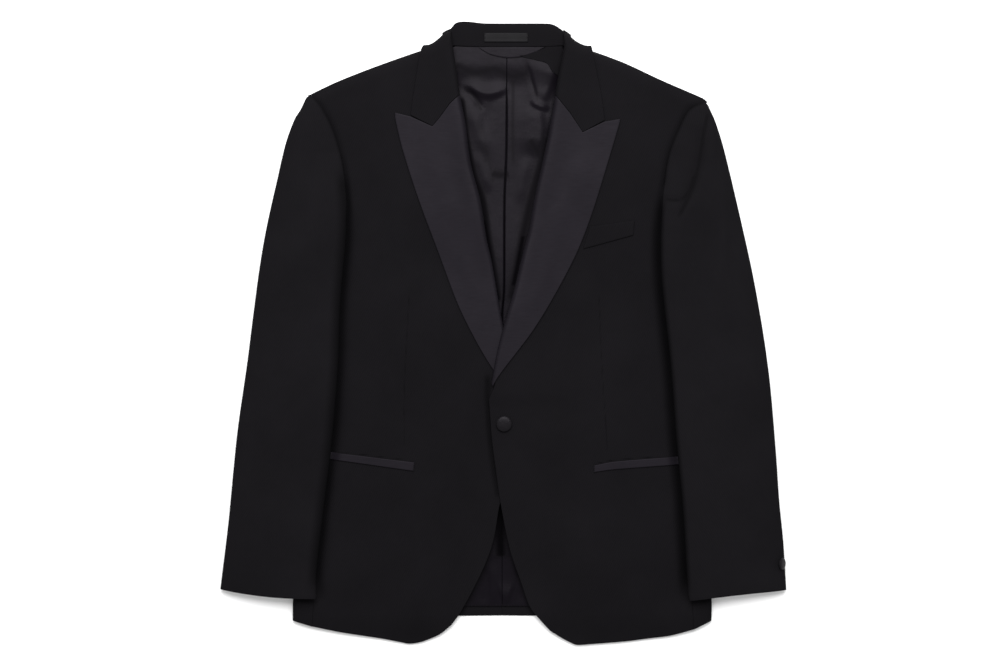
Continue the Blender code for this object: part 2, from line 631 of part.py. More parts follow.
def fold_shape(turn):
    """Share of the radius run inwards, and of the half height climbed, at a turn of the fold."""
    power = 2.0 / SLEEVE_FOLD_POWER
    run = 1.0 - np.abs(np.sin(turn)) ** power
    climb = np.sign(np.cos(turn)) * np.abs(np.cos(turn)) ** power
    return run, climb


def sleeve_row(side, place, spots, wall=0.0):
    """Points of one sleeve section. Each spot is (edge, turn, share across the flat, face).

    A wall moves the points in from the outer face by that thickness.
    """
    section = table(SLEEVE_COLUMNS, SLEEVE_SECTIONS)
    height = np.interp(place, section["along"], section["height"])
    open_turn = np.radians(np.interp(place, section["along"], section["top_turn"]))
    outer = along(dense(SLEEVE_OUTER[side]), [place])[0]
    inner = along(dense(SLEEVE_INNER[side]), [place])[0]
    width = np.linalg.norm(outer - inner)
    across = (outer - inner) / width
    reach_in = min(SLEEVE_FOLD_INNER, width * SLEEVE_FOLD_SHARE)
    reach_out = min(SLEEVE_FOLD_OUTER, width * SLEEVE_FOLD_SHARE)
    shift = reach_in * fold_shape(min(open_turn, np.pi / 2))[0]
    inner = inner - across * shift
    width = width + shift
    top_in = sleeve_rest(inner[0], inner[1], side) + height
    top_out = sleeve_rest(outer[0], outer[1], side) + height
    points = []
    for edge, turn, share, face in spots:
        if edge == "inner":
            run, climb = fold_shape(turn)
            away = wall + (reach_in - wall) * run
        elif edge == "outer":
            run, climb = fold_shape(turn)
            away = width - wall - (reach_out - wall) * run
        else:
            climb = face
            away = reach_in + (width - reach_in - reach_out) * share
        spot = inner + across * away
        share_all = away / width
        top = top_in + (top_out - top_in) * share_all + SLEEVE_CROWN * np.sin(np.pi * share_all)
        low = sleeve_rest(spot[0], spot[1], side)
        middle = (top + low) / 2.0
        dip = CUFF_DIP[side] * np.sin(np.pi * share_all) * ramp(place, *CUFF_DIP_SPAN)
        points.append((spot[0], spot[1] - dip, middle + ((top - low) / 2.0 - wall) * climb))
    return points


def sleeve_places(side):
    """Shares of the sleeve's length for its rows: the armhole's shared rows, then down to the cuff."""
    path = dense(SLEEVE_INNER[side])
    steps = np.linalg.norm(np.diff(path, axis=0), axis=1)
    travelled = np.concatenate([[0.0], np.cumsum(steps)]) / steps.sum()
    cap = np.interp(-armhole_y(side)[::-1], -path[:, 1], travelled)
    return list(cap) + [cap[-1] + (1.0 - cap[-1]) * share for share in SLEEVE_LOWER_ROWS]


def build_sleeve(side, top_name, under_name):
    """The two pieces of a sleeve: the top piece wraps both folds, the under piece closes it."""
    section = table(SLEEVE_COLUMNS, SLEEVE_SECTIONS)
    hind = np.radians(HIND_SEAM_TURN)
    hind_under = hind + np.radians(SEAM_TURN)
    faces = {"top": [], "under": [], "top_in": [], "under_in": []}
    for place in sleeve_places(side):
        top_turn = np.radians(np.interp(place, section["along"], section["top_turn"]))
        under_turn = np.radians(np.interp(place, section["along"], section["under_turn"]))
        under_turn = max(under_turn, top_turn + np.radians(SEAM_TURN))
        top = [("inner", top_turn * share, 0, 1) for share in (1.0, 0.8, 0.55, 0.28)]
        top += [("flat", 0, share, 1) for share in TOP_FLAT]
        top += [("outer", hind * share, 0, 1) for share in (0.2, 0.4, 0.6, 0.8, 1.0)]
        under = [("outer", hind_under + (np.pi - hind_under) * share, 0, 1) for share in (0, 0.5)]
        under += [("flat", 0, share, -1) for share in UNDER_FLAT[::-1]]
        under += [("inner", under_turn + (np.pi - under_turn) * share, 0, 1) for share in (0.5, 0)]
        faces["top"].append(sleeve_row(side, place, top))
        faces["under"].append(sleeve_row(side, place, under))
        faces["top_in"].append(sleeve_row(side, place, top, SLEEVE_CLOTH))
        faces["under_in"].append(sleeve_row(side, place, under, SLEEVE_CLOTH))
    grids = {name: np.array(rows) for name, rows in faces.items()}
    shell(top_name, grids["top"], 0.0, "sleeve_wool", inner=grids["top_in"])
    shell(under_name, grids["under"], 0.0, "sleeve_wool", up=-1.0, inner=grids["under_in"])


def build_strip(name, upper, lower, side, kind, start=0.0):
    """Trim laid on a front between two lines, moved out from the front's own face."""
    u = np.linspace(start, 1.0, 10)
    v = np.array([0.0, 0.5, 1.0])[:, None, None]
    high = along(dense(upper), u)[None]
    low = along(dense(lower), u)[None]
    plan = low + (high - low) * v
    heights = front_height(plan[..., 0], plan[..., 1], side) + LAY_GAP + TRIM_CLOTH
    return shell(name, lifted(plan, heights), TRIM_CLOTH, kind)


def build_facing(name):
    """Back neck facing: a crescent on the lining below the collar stand."""
    u = np.linspace(0.0, 1.0, 11)
    low = along(dense(FACING_LOWER), u)
    high = np.stack([low[:, 0], np.full(len(u), FACING_TOP_Y)], axis=1)
    plan = low[None] + (high - low)[None] * np.array([0.0, 0.5, 1.0])[:, None, None]
    heights = lining_height(plan[..., 0], plan[..., 1]) + LAY_GAP + LINING_CLOTH
    return shell(name, lifted(plan, heights), LINING_CLOTH, "wool")


def build_label(name):
    """Blank woven label on the collar stand."""
    x, y = np.meshgrid(np.linspace(*LABEL_X, 7), np.linspace(*LABEL_Y, 5))
    heights = stand_height(x, y) + LAY_GAP + LINING_CLOTH
    return shell(name, np.stack([x, y, heights], axis=2), LINING_CLOTH, "satin")


def build_button(name, centre, axis, radius, height):
    """Covered button: a flat back, a rounded rim and a low dome."""
    axis = np.asarray(axis, float) / np.linalg.norm(axis)
    side = np.cross([0.0, 1.0, 0.0], axis)
    side /= np.linalg.norm(side)
    other = np.cross(axis, side)
    segments = BUTTON_SEGMENTS
    points = []
    for share, level in BUTTON_PROFILE:
        for step in range(segments):
            angle = 2 * np.pi * step / segments
            spoke = side * np.cos(angle) + other * np.sin(angle)
            points.append(centre + axis * height * level + spoke * radius * share)
    points.append(centre)
    points.append(centre + axis * height)
    faces = []
    for ring in range(len(BUTTON_PROFILE) - 1):
        for step in range(segments):
            a = ring * segments + step
            b = ring * segments + (step + 1) % segments
            faces.append((a, b, b + segments, a + segments))
    last = (len(BUTTON_PROFILE) - 1) * segments
    for step in range(segments):
        ahead = (step + 1) % segments
        faces.append((ahead, step, len(points) - 2))
        faces.append((last + step, last + ahead, len(points) - 1))
    return solid(name, points, faces, "covered")


def build_cuff_button(side, name):
    """Covered button on the outer fold of a sleeve, near the cuff."""
    turn = np.radians(CUFF_BUTTON_TURN)
    step = np.radians(3.0)
    here = np.array(sleeve_row(side, CUFF_BUTTON_ALONG, [("outer", turn, 0, 1)])[0])
    past = np.array(sleeve_row(side, CUFF_BUTTON_ALONG, [("outer", turn + step, 0, 1)])[0])
    further = np.array(sleeve_row(side, CUFF_BUTTON_ALONG + 0.01, [("outer", turn, 0, 1)])[0])
    axis = np.cross(past - here, further - here)
    axis = axis * np.sign(axis[2]) / np.linalg.norm(axis)
    return build_button(name, here + axis * LAY_GAP, axis, CUFF_BUTTON_RADIUS, CUFF_BUTTON_HEIGHT)


def clear_scene():
    """Remove whatever the file opened with."""
    for item in list(bpy.data.objects):
        bpy.data.objects.remove(item, do_unlink=True)


def main():
    """Build every piece."""
    clear_scene()
    build_back(-1, "back_right")
    build_back(1, "back_left")
    build_lining(-1, "lining_right")
    build_lining(1, "lining_left")
    build_side(-1, "side_right")
    build_side(1, "side_left")
    build_front(-1, "front_right")
    build_front(1, "front_left")
    build_lapel(-1, "lapel_right")
    build_lapel(1, "lapel_left")
    build_collar_side(-1, "collar_right")
    build_collar_side(1, "collar_left")
    build_collar_back("collar_back")
    build_sleeve(-1, "sleeve_top_right", "sleeve_under_right")
    build_sleeve(1, "sleeve_top_left", "sleeve_under_left")
    build_strip("hip_jet_right", JET_UPPER[-1], JET_LOWER[-1], -1, "satin", JET_START[-1])
    build_strip("hip_jet_left", JET_UPPER[1], JET_LOWER[1], 1, "satin", JET_START[1])
    build_strip("breast_welt", WELT_UPPER, WELT_LOWER, 1, "wool")
    build_facing("back_neck_facing")
    build_label("label")
    button_z = float(front_height(np.array([FRONT_BUTTON_X]), np.array([FRONT_BUTTON_Y]), 1)[0])
    centre = np.array([FRONT_BUTTON_X, FRONT_BUTTON_Y, button_z + LAY_GAP])
    build_button("front_button", centre, (0, 0, 1), FRONT_BUTTON_RADIUS, FRONT_BUTTON_HEIGHT)
    build_cuff_button(1, "cuff_button")


main()
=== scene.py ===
"""Dinner jacket laid flat on its back, front up: the cloth that shows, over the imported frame.

Tables and heights are millimetres: x to the picture's right, y towards the collar, z up from the
surface that the jacket lies on. The wearer's right is at -x. Meshes are made in metres.
"""

import bpy
import numpy as np
from bpy.props import FloatProperty, FloatVectorProperty, PointerProperty
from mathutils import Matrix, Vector


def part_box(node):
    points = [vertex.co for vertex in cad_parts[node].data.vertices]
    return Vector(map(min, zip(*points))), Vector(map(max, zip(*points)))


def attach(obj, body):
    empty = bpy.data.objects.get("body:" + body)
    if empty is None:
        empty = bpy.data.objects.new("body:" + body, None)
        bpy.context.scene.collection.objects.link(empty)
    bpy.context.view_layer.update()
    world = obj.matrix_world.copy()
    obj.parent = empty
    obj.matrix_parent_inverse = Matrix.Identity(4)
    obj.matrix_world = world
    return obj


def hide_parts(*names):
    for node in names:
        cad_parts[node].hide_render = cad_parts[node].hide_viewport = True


bl_info = {
    "name": "Dinner jacket laid flat",
    "version": (1, 0, 0),
    "blender": (4, 5, 0),
    "location": "View3D > Sidebar > Jacket",
    "description": "Cloth, satin, lining, buttons and stitching of a dinner jacket laid on its back",
    "category": "Add Mesh",
}

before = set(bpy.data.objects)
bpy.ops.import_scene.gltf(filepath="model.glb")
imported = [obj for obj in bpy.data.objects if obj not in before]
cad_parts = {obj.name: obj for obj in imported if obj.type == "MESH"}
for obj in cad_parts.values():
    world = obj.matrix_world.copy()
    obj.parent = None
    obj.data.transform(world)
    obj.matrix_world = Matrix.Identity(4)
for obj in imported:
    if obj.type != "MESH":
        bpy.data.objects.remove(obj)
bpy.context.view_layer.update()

MM = 0.001
PER_METRE = 1000.0


def linear(hex_colour):
    """sRGB hex to the linear values that Blender's sockets take."""
    values = np.array([int(hex_colour[place:place + 2], 16) for place in (0, 2, 4)]) / 255.0
    curved = ((values + 0.055) / 1.055) ** 2.4
    return tuple(float(v) for v in np.where(values <= 0.04045, values / 12.92, curved))


def length(name, note, default, low, high):
    """A size that the panel offers."""
    return FloatProperty(name=name, description=note, default=default, min=low, max=high, unit="LENGTH")


def dye(name, note, hex_colour):
    """A colour that the panel offers."""
    return FloatVectorProperty(name=name, description=note, default=linear(hex_colour), min=0.0, max=1.0,
                               subtype="COLOR")


class JacketSizes(bpy.types.PropertyGroup):
    """Sizes that a user would change without moving a seam."""

    cloth: length("Body cloth", "Wool with its canvas, through the wall", 0.002, 0.001, 0.003)
    sleeve: length("Sleeve cloth", "Sleeve wool with its lining", 0.0022, 0.001, 0.003)
    lining: length("Lining", "Lining cloth and label, through the wall", 0.001, 0.001, 0.002)
    trim: length("Trim", "Jets and welt, through the wall", 0.0012, 0.001, 0.002)
    edge: length("Turned edge", "Roundness of the turned cloth edges", 0.0007, 0.0002, 0.001)
    stitch: length("Stitch", "Length of one hand stitch", 0.0024, 0.001, 0.006)
    thread: length("Thread", "Thickness of the sewing thread", 0.0004, 0.0002, 0.001)
    floor: length("Floor", "Side of the pale floor", 12.0, 2.0, 40.0)
    drape: FloatProperty(name="Drape", description="Depth of the soft creases against the photo's",
                         default=1.0, min=0.0, max=1.5)


class JacketColours(bpy.types.PropertyGroup):
    """Colours that a user would change."""

    wool: dye("Wool", "Body cloth", "0f0e10")
    sleeve: dye("Sleeve wool", "Sleeve cloth", "100f11")
    satin: dye("Facing satin", "Lapels and jets", "151317")
    lining: dye("Lining", "Body and sleeve lining", "0a080c")
    label: dye("Label", "Blank woven label", "121113")
    button: dye("Button", "Satin over the buttons, and the thread", "0f0e10")
    floor: dye("Floor", "Pale floor", "f2f2f2")


# The wearer's sides: -1 is at the picture's left
HANDS = {-1: "right", 1: "left"}
BACKS = ["back_right", "back_left"]

# Cloth thicknesses and the clearance kept between neighbouring pieces
CLOTH = 2.0
LINING_CLOTH = 1.0
TRIM_CLOTH = 1.2
SEAM_GAP = 0.45
LAY_GAP = 0.5
LINING_GAP = 0.75

# Height of the front's upper face: at the hem, over the chest and at the shoulders. Its hem droops
# where it hangs past the back's, and it rises beside the neck
HEM_HEIGHT = 10.5
BODY_HEIGHT = 12.5
SHOULDER_HEIGHT = 17.0
HEM_RAMP = (-400.0, -280.0)
HEM_DROOP = 6.0
HEM_DROOP_Y = (-402.0, -358.0)
SHOULDER_RAMP = (60.0, 220.0)
SHOULDER_RADIUS = 14.0
SHOULDER_FOOT = 2.6
NECK_RISE = 4.0
NECK_SPREAD = 50.0
NECK_Y = 345.0

# The wearer's left front closes over the other one
OVERLAP_END_X = 24.0
OVERLAP_FADE_X = 85.0
OVERLAP_Y = (-330.0, -235.0, 30.0, 150.0)
LAPEL_UNDER_Y = (-98.0, -75.0, 30.0, 150.0)
LAYER = CLOTH + LAY_GAP

# Side fold, lapel roll and collar
SIDE_RADIUS = 12.0
ROLL_RADIUS = 5.0
ROLL_SETBACK = 4.4
ROLL_LIFT = 5.0
ROLL_RISE = 5.0
ROLL_FADE = 22.0
ROLL_SOFT_Y = {-1: (60.0, 160.0), 1: (-60.0, 100.0)}
ROLL_FOOT = 1.6
ROLL_END_GAP = 12.0
COLLAR_HEIGHT = 10.0
COLLAR_SEAM_HEIGHT = 8.4
COLLAR_FOLD_RADIUS = 6.0
COLLAR_FOLD_SHARE = 0.4
COLLAR_FOOT = 2.6
COLLAR_FALL_Y = 352.0
COLLAR_STAND_Y = (368.0, 390.0)
STAND_CLEAR = 1.0
STAND_END_LIFT = 7.0
STAND_END_X = (69.5, 78.0)
STAND_END_Y = (371.0, 381.0)
NECK_RAISE_Y = (314.0, 348.0)
NECK_RAISE_X = (86.0, 190.0)
NECK_CENTRE_X = 5.0

# Sleeves: radii of the folds, crown, turns at which the pieces meet on a fold, and how far from the
# side fold and the armhole the sleeve comes down from the body to the surface
SLEEVE_FOLD_INNER = 25.0
SLEEVE_FOLD_OUTER = 26.0
SLEEVE_FOLD_SHARE = 0.45
SLEEVE_CROWN = 2.0
HIND_SEAM_TURN = 122.0
SEAM_TURN = 2.0
SLEEVE_REST = (7.0, 52.0)
ARMHOLE_REST = (14.0, 84.0)
SLEEVE_CLEAR = 1.4
ARMHOLE_TURN_Y = 160.0

# Lining down the centre back: a flat fold with a seam that sinks in along its middle
MIDDLE_LIFT = 3.0
MIDDLE_X = (-34.0, -13.0, 14.0, 34.0)
MIDDLE_Y = (-60.0, 0.0, 60.0, 200.0)
LINING_LIFT = 1.2
LINING_LIFT_Y = (-60.0, 0.0, 290.0, 318.0)
LINING_HEM_FADE = 6.0
LINING_SINK = 0.6
CENTRE_DROP = (1.2, 1.0)
CENTRE_PART = 0.15
CENTRE_Y = (-40.0, 20.0, 270.0, 330.0)

# Columns of the lining, as distances from the centre seam: close to it, in the opening and beyond
LINING_COLUMNS = np.concatenate([[0.0, 0.5, 1.1, 1.8, 2.6, 3.5, 4.5, 5.6, 6.8, 8.1, 9.5, 11.0, 12.6],
                                 np.arange(14.4, 78.0, 2.0), np.arange(80.0, 229.0, 11.0)])

# Buttons: sizes, then the rings and segments of the mesh and the pleats of its satin
FRONT_BUTTON_X = 1.0
FRONT_BUTTON_Y = -115.5
FRONT_BUTTON_RADIUS = 10.0
FRONT_BUTTON_HEIGHT = 4.0
CUFF_BUTTON_RADIUS = 7.5
CUFF_BUTTON_HEIGHT = 3.2
CUFF_BUTTON_TURN = 52.0
RINGS = 14
SEGMENTS = 72
PLEATS = 18
PLEAT_DEPTH = 0.012
RIM_POWER = 0.75
RIM_LEAST = 0.02
DOME_POWER = 0.9
DOME_END = 0.97

# Turned edges of the cloth
EDGE_SEGMENTS = 2
EDGE_ANGLE = np.radians(55.0)

# Columns and rows of the grids
BACK_GRID = (42, 130)
SIDE_ROWS = 150
LINING_ROWS = 300
FRONT_GRID = (84, 236)
LAPEL_GRID = (48, 170)
COLLAR_GRID = (34, 64)
FLAT_COLUMN = 16
CORNER_REACH = 0.45
STAND_END_SHARE = 0.16
STAND_COLUMNS = (18, 40)
SLEEVE_HEAD_SHARE = 0.03
SLEEVE_ROWS = (8, 150)
SLEEVE_FLAT = 26
SLEEVE_FOLD_STEPS = (15, 16, 7)
LABEL_GRID = (40, 10)
STRIP_ROWS = 9
FOLD_TURNS = np.radians(np.arange(0.0, 181.0, 12.0))

# Stitches: spacing in stitches, height over the cloth and distance from the edges of label and hem
STITCH_PITCH = 1.6
TACK_PITCH = 0.9
STITCH_LIFT = 0.1
TACK_LIFT = 0.35
LABEL_INSET = (1.2, 0.8)
HEM_INSET = 1.6
JET_INSET = 0.006
TACK_SPAN = (0.04, 0.96)

# Seams, folds and edges in plan: x and y, by side. The sleeve's inner fold starts as the armhole does
SHOULDER = {
    -1: [(-246, 305), (-209, 323), (-158, 343.5), (-106.5, 361.5), (-88.5, 364), (-64.5, 366)],
    1: [(258, 296.5), (252, 301.5), (200.5, 324.5), (149.5, 348.5), (107, 363), (76, 366)],
}
ARMHOLE = {
    -1: [(-246, 305), (-234.5, 292.5), (-218, 260.5), (-206, 219.5), (-200.5, 177),
         (-199.5, 155.5), (-201.5, 132.5), (-206.5, 109.5), (-215.5, 91.5)],
    1: [(258, 296.5), (238.5, 286.5), (226, 264.5), (212, 228.5), (205, 186),
        (202.5, 160.5), (203, 132.5), (208.5, 109.5), (217, 91.5)],
}
SIDE_SEAM = {
    -1: [(-215.5, 91.5), (-245, -375.5)],
    1: [(217, 91.5), (244, -379.5)],
}
SIDE_FOLD = {
    -1: [(-277, 55.5), (-270.5, 4.5), (-259, -59.5), (-255, -117), (-259, -187.5),
         (-265.5, -264.5), (-269.5, -338.5), (-270, -368)],
    1: [(280, 55.5), (272.5, 4.5), (259.5, -59.5), (254.5, -117), (258, -187.5),
        (263.5, -264.5), (267, -338.5), (267, -368)],
}
ROLL = {
    -1: [(-67.5, 387), (-62, 350), (-55, 304), (-48, 267), (-41.5, 218), (-29, 169.5),
         (-21, 119.5), (-14.5, 91.5), (-3, 25), (6.5, -18.5), (12, -43), (17.5, -70)],
    1: [(76.5, 387), (77.5, 368), (70.5, 331), (66, 304), (61, 277), (56.5, 249), (49, 214.5),
        (40, 174.5), (32.5, 132.5), (24.5, 101.5), (13, 53), (5, 26), (-7, -19.5), (-16.5, -70)],
}
FRONT_EDGE = {
    -1: [(20.5, -91.5), (20.5, -123.5), (16.5, -162), (7.5, -191.5), (-4, -217), (-12, -262),
         (-21, -290), (-39, -328.5), (-56.5, -359.5), (-67, -374)],
    1: [(-18.5, -84), (-17, -103), (-14.5, -136.5), (-9.5, -175), (-4, -214.5), (8.5, -277),
        (22.5, -318), (34, -350), (49.5, -369.5), (60, -381)],
}
FRONT_HEM = {
    -1: [(-245, -375.5), (-209, -383), (-158, -391), (-132, -396), (-120.5, -398),
         (-106.5, -396), (-94, -391.5), (-81, -385.5), (-67, -374)],
    1: [(244, -379.5), (214.5, -387.5), (188, -391), (156, -395), (117.5, -398),
        (94.5, -399.5), (85.5, -396), (74, -390), (60, -381)],
}
BACK_HEM = {
    -1: [(-244.2, -363), (-132, -363), (-1.5, -361.8)],
    1: [(243.1, -364), (124, -363), (-1.5, -361.8)],
}
CENTRE_BACK = [(4.5, 367.5), (4.5, 354), (4, 235), (1.5, 171), (1, 55.5), (-1.5, 20), (-1.5, -361.8)]
NECK_SEAM = [(-64.5, 368.5), (-42.5, 367.5), (4.5, 367), (53.5, 367.5), (76, 368.5)]
STAND_SEAM = [(-76, 366)] + NECK_SEAM + [(86, 366)]
LINING_TOP = {
    -1: [(-220, 288), (-202, 306), (-158, 329), (-106, 346), (-75, 360), (-62, 368), (-42.5, 368.4),
         (4.5, 368.2)],
    1: [(222, 286), (202, 306), (160, 329), (115, 345), (84, 360), (70, 368), (53.5, 368.4),
        (4.5, 368.2)],
}
LINING_SIDE = {
    -1: [(-220, 288), (-203, 240), (-194, 177), (-194, 130), (-208, 60), (-226, -85), (-238, -350)],
    1: [(222, 286), (207, 240), (197, 177), (196, 130), (210, 60), (228, -85), (238, -350)],
}
LINING_HEM = {
    -1: [(-238, -350), (-120, -350), (-1.5, -350)],
    1: [(238, -350), (120, -350), (-1.5, -350)],
}
LAPEL_EDGE = {
    -1: [(-138, 282), (-137.5, 273), (-128.5, 235), (-108, 171), (-85, 109.5), (-58, 37.5),
         (-34, -11), (-13.5, -45), (2, -63.5), (9, -70)],
    1: [(149, 274), (148, 268), (132.5, 215.5), (112.5, 151.5), (93, 101.5), (63.5, 45.5),
        (36.5, 2), (4.5, -40), (-8, -57), (-13.5, -67)],
}
LAPEL_TOP = {
    -1: [(-138, 282), (-118, 277), (-90.5, 264.5), (-81, 276), (-68, 293.5), (-55.5, 304.5)],
    1: [(149, 274), (129, 270.5), (101.5, 257), (85.5, 281), (66.5, 304)],
}
COLLAR_OUTER = {
    -1: [(-102, 370), (-105.5, 360.5), (-110, 333.5), (-114.5, 305), (-118, 278.5)],
    1: [(112.5, 369), (116, 347.5), (120, 327), (125, 302.5), (129, 272)],
}
COLLAR_OUTLINE = {
    -1: [(-102, 370), (-94, 371), (-86, 376), (-75, 385.5), (-67.5, 389)],
    1: [(112.5, 369), (103.5, 370), (92, 376), (84, 383), (76.5, 388)],
}
COLLAR_TOP = [(-80, 377), (-71.5, 386.5), (-66, 392.5), (-61.5, 397.5), (-55, 399.7), (-42.5, 399.5),
              (-23.5, 397.5), (56, 397.3), (65, 395.5), (72.5, 391), (79, 386), (89, 377)]
FACING_TOP_Y = 366.7
FACING_LOWER = [(-31, 366), (-17, 357.5), (3.5, 353), (21.5, 354), (30.5, 356.5), (54, 366)]

SLEEVE_OUTER = {
    -1: [(-253, 301.5), (-260, 286), (-266.5, 276), (-278, 245), (-289.5, 196.5), (-305, 126),
         (-319, 32.5), (-328, -38), (-341, -130), (-352, -241.5), (-362.5, -327.5)],
    1: [(263.5, 290), (271.5, 271.5), (281, 241), (291.5, 199), (309.5, 121), (327.5, 32.5),
        (340.5, -54.5), (349, -150), (353.5, -215), (358.5, -265), (362.5, -328.5)],
}
SLEEVE_INNER = {
    -1: ARMHOLE[-1][:6] + [(-200.5, 119.5), (-207.5, 39), (-210.5, -43), (-218, -135),
                           (-226.5, -205.5), (-234.5, -270), (-238.5, -311.5), (-238.5, -338.5)],
    1: ARMHOLE[1][:6] + [(200.5, 126), (201, 80), (204.5, 39), (213.5, -43), (220.5, -135),
                         (228.5, -219.5), (235.5, -331), (237.5, -341)],
}
CUFF_DIP = {-1: 3.0, 1: -1.0}
CUFF_DIP_SPAN = (0.9, 1.0)

# Share of the sleeve's length, height of the tube, and where the top and under pieces end on its fold
SLEEVE_COLUMNS = ("along", "height", "top_turn", "under_turn")
SLEEVE_SECTIONS = [
    (0.000, 10.0, 40, 140),
    (0.020, 15.0, 40, 140),
    (0.060, 19.0, 40, 140),
    (0.150, 19.0, 42, 138),
    (0.220, 18.0, 60, 138),
    (0.290, 16.5, 120, 140),
    (0.350, 16.0, 146, 146),
    (0.600, 16.0, 146, 146),
    (1.000, 15.0, 146, 146),
]

# Trim. Each jet starts, as a share of its length, where the sleeve stops hiding it
WELT_LOWER = [(102, 108), (166, 125.5)]
WELT_UPPER = [(111, 136.5), (167.5, 144.5)]
JET_UPPER = {-1: [(-253, -148), (-215.5, -152.5), (-113, -165)],
             1: [(262, -155), (216, -158), (141.5, -164), (115.5, -169)]}
JET_LOWER = {-1: [(-253, -157.5), (-214, -162), (-114.5, -176)],
             1: [(262, -165.5), (214.5, -168.5), (141.5, -174), (115.5, -177.5)]}
JET_START = {-1: 0.2, 1: 0.235}
LABEL_X = (-24.5, 31.5)
LABEL_Y = (373.0, 384.5)


def table(columns, rows):
    """Named columns of a table of rows."""
    values = np.array(rows, float)
    return {name: values[:, index] for index, name in enumerate(columns)}


def ramp(value, low, high):
    """Smooth step from 0 at low to 1 at high."""
    t = np.clip((np.asarray(value, float) - low) / (high - low), 0.0, 1.0)
    return t * t * (3.0 - 2.0 * t)


def plateau(value, marks):
    """1 between the two middle marks, fading to 0 at the outer ones."""
    start, full, fall, end = marks
    return ramp(value, start, full) * (1.0 - ramp(value, fall, end))


def steps(count):
    """Even shares from 0 to 1."""
    return np.linspace(0.0, 1.0, count)


def dense(rows, straight=False):
    """A fine polyline through rows of x and y, curved unless straight."""
    points = np.array(rows, float)
    if straight or len(points) < 3:
        return points
    ends = np.vstack([2 * points[0] - points[1], points, 2 * points[-1] - points[-2]])
    tangents = (ends[2:] - ends[:-2]) / 2.0
    chords = np.linalg.norm(np.diff(points, axis=0), axis=1)
    spans = []
    for index, chord in enumerate(chords):
        before, after = chords[max(index - 1, 0)], chords[min(index + 1, len(chords) - 1)]
        start_slope = tangents[index] * min(1.0, 2 * chord / (chord + before))
        end_slope = tangents[index + 1] * min(1.0, 2 * chord / (chord + after))
        t = steps(9)[:-1, None]
        spans.append((2 * t**3 - 3 * t**2 + 1) * points[index] + (t**3 - 2 * t**2 + t) * start_slope
                     + (3 * t**2 - 2 * t**3) * points[index + 1] + (t**3 - t**2) * end_slope)
    return np.vstack(spans + [points[-1:]])


def along(path, fractions):
    """Points at the given fractions of a polyline's length."""
    travelled = np.concatenate([[0.0], np.cumsum(np.linalg.norm(np.diff(path, axis=0), axis=1))])
    wanted = np.asarray(fractions, float) * travelled[-1]
    return np.stack([np.interp(wanted, travelled, path[:, axis]) for axis in (0, 1)], axis=1)


def at_heights(path, fractions):
    """Points of a polyline that runs up or down, at even fractions of its rise."""
    order = np.argsort(path[:, 1], kind="stable")
    y_values = path[order, 1]
    wanted = path[0, 1] + np.asarray(fractions, float) * (path[-1, 1] - path[0, 1])
    return np.stack([np.interp(wanted, y_values, path[order, 0]), wanted], axis=1)


def moved(path, distance):
    """A polyline moved to its left by a distance."""
    slope = np.gradient(path, axis=0)
    slope /= np.linalg.norm(slope, axis=1, keepdims=True)
    return path + distance * np.stack([-slope[:, 1], slope[:, 0]], axis=1)


def nearest(path, x, y):
    """Signed distance in plan to a polyline, positive on its left, and the share along it."""
    start = path[:-1]
    step = path[1:] - start
    flat = np.stack([np.ravel(x), np.ravel(y)], axis=1)
    offset = flat[:, None, :] - start[None]
    share = np.clip((offset * step).sum(2) / (step * step).sum(1), 0.0, 1.0)
    gap = offset - share[..., None] * step[None]
    distance = np.sqrt((gap * gap).sum(2))
    best = distance.argmin(1)
    rows = np.arange(len(flat))
    gap = gap[rows, best]
    turn = step[best, 0] * gap[:, 1] - step[best, 1] * gap[:, 0]
    signed = distance[rows, best] * np.where(turn < 0, -1.0, 1.0)
    lengths = np.linalg.norm(step, axis=1)
    travelled = np.cumsum(lengths) - lengths
    place = (travelled[best] + share[rows, best] * lengths[best]) / lengths.sum()
    return signed.reshape(np.shape(x)), place.reshape(np.shape(x))


def distance_to(path, x, y):
    """Distance in plan from every point to a polyline."""
    return np.abs(nearest(path, x, y)[0])


def rounded(distance, radius):
    """Quarter round: 0 at the edge, 1 from one radius inwards."""
    inside = np.clip(1.0 - distance / radius, 0.0, 1.0)
    return np.sqrt(1.0 - inside * inside)


def patch(bottom, top, left, right, u, v):
    """Plan grid between four sides: rows follow v from bottom to top, columns follow u."""
    u = np.asarray(u, float)[None, :, None]
    v = np.asarray(v, float)[:, None, None]
    across = (1 - v) * bottom[None] + v * top[None]
    upward = (1 - u) * left[:, None] + u * right[:, None]
    corners = ((1 - u) * (1 - v) * bottom[0] + u * (1 - v) * bottom[-1]
               + (1 - u) * v * top[0] + u * v * top[-1])
    return across + upward - corners


def between(low, high, rows):
    """Plan grid of rows from the low line of points to the high one."""
    return low + (high - low) * steps(rows)[:, None, None]


def lifted(plan, heights):
    """Plan grid with its heights as a third coordinate."""
    return np.concatenate([plan, heights[..., None]], axis=2)


# Where creases and drawn lines fade in and out, as shares of their length
CREASE_ENDS = (0.0, 0.35, 0.65, 1.0)
UNDER_ENDS = (0.0, 0.15, 0.8, 1.0)
MARK_ENDS = (0.0, 0.06, 0.94, 1.0)

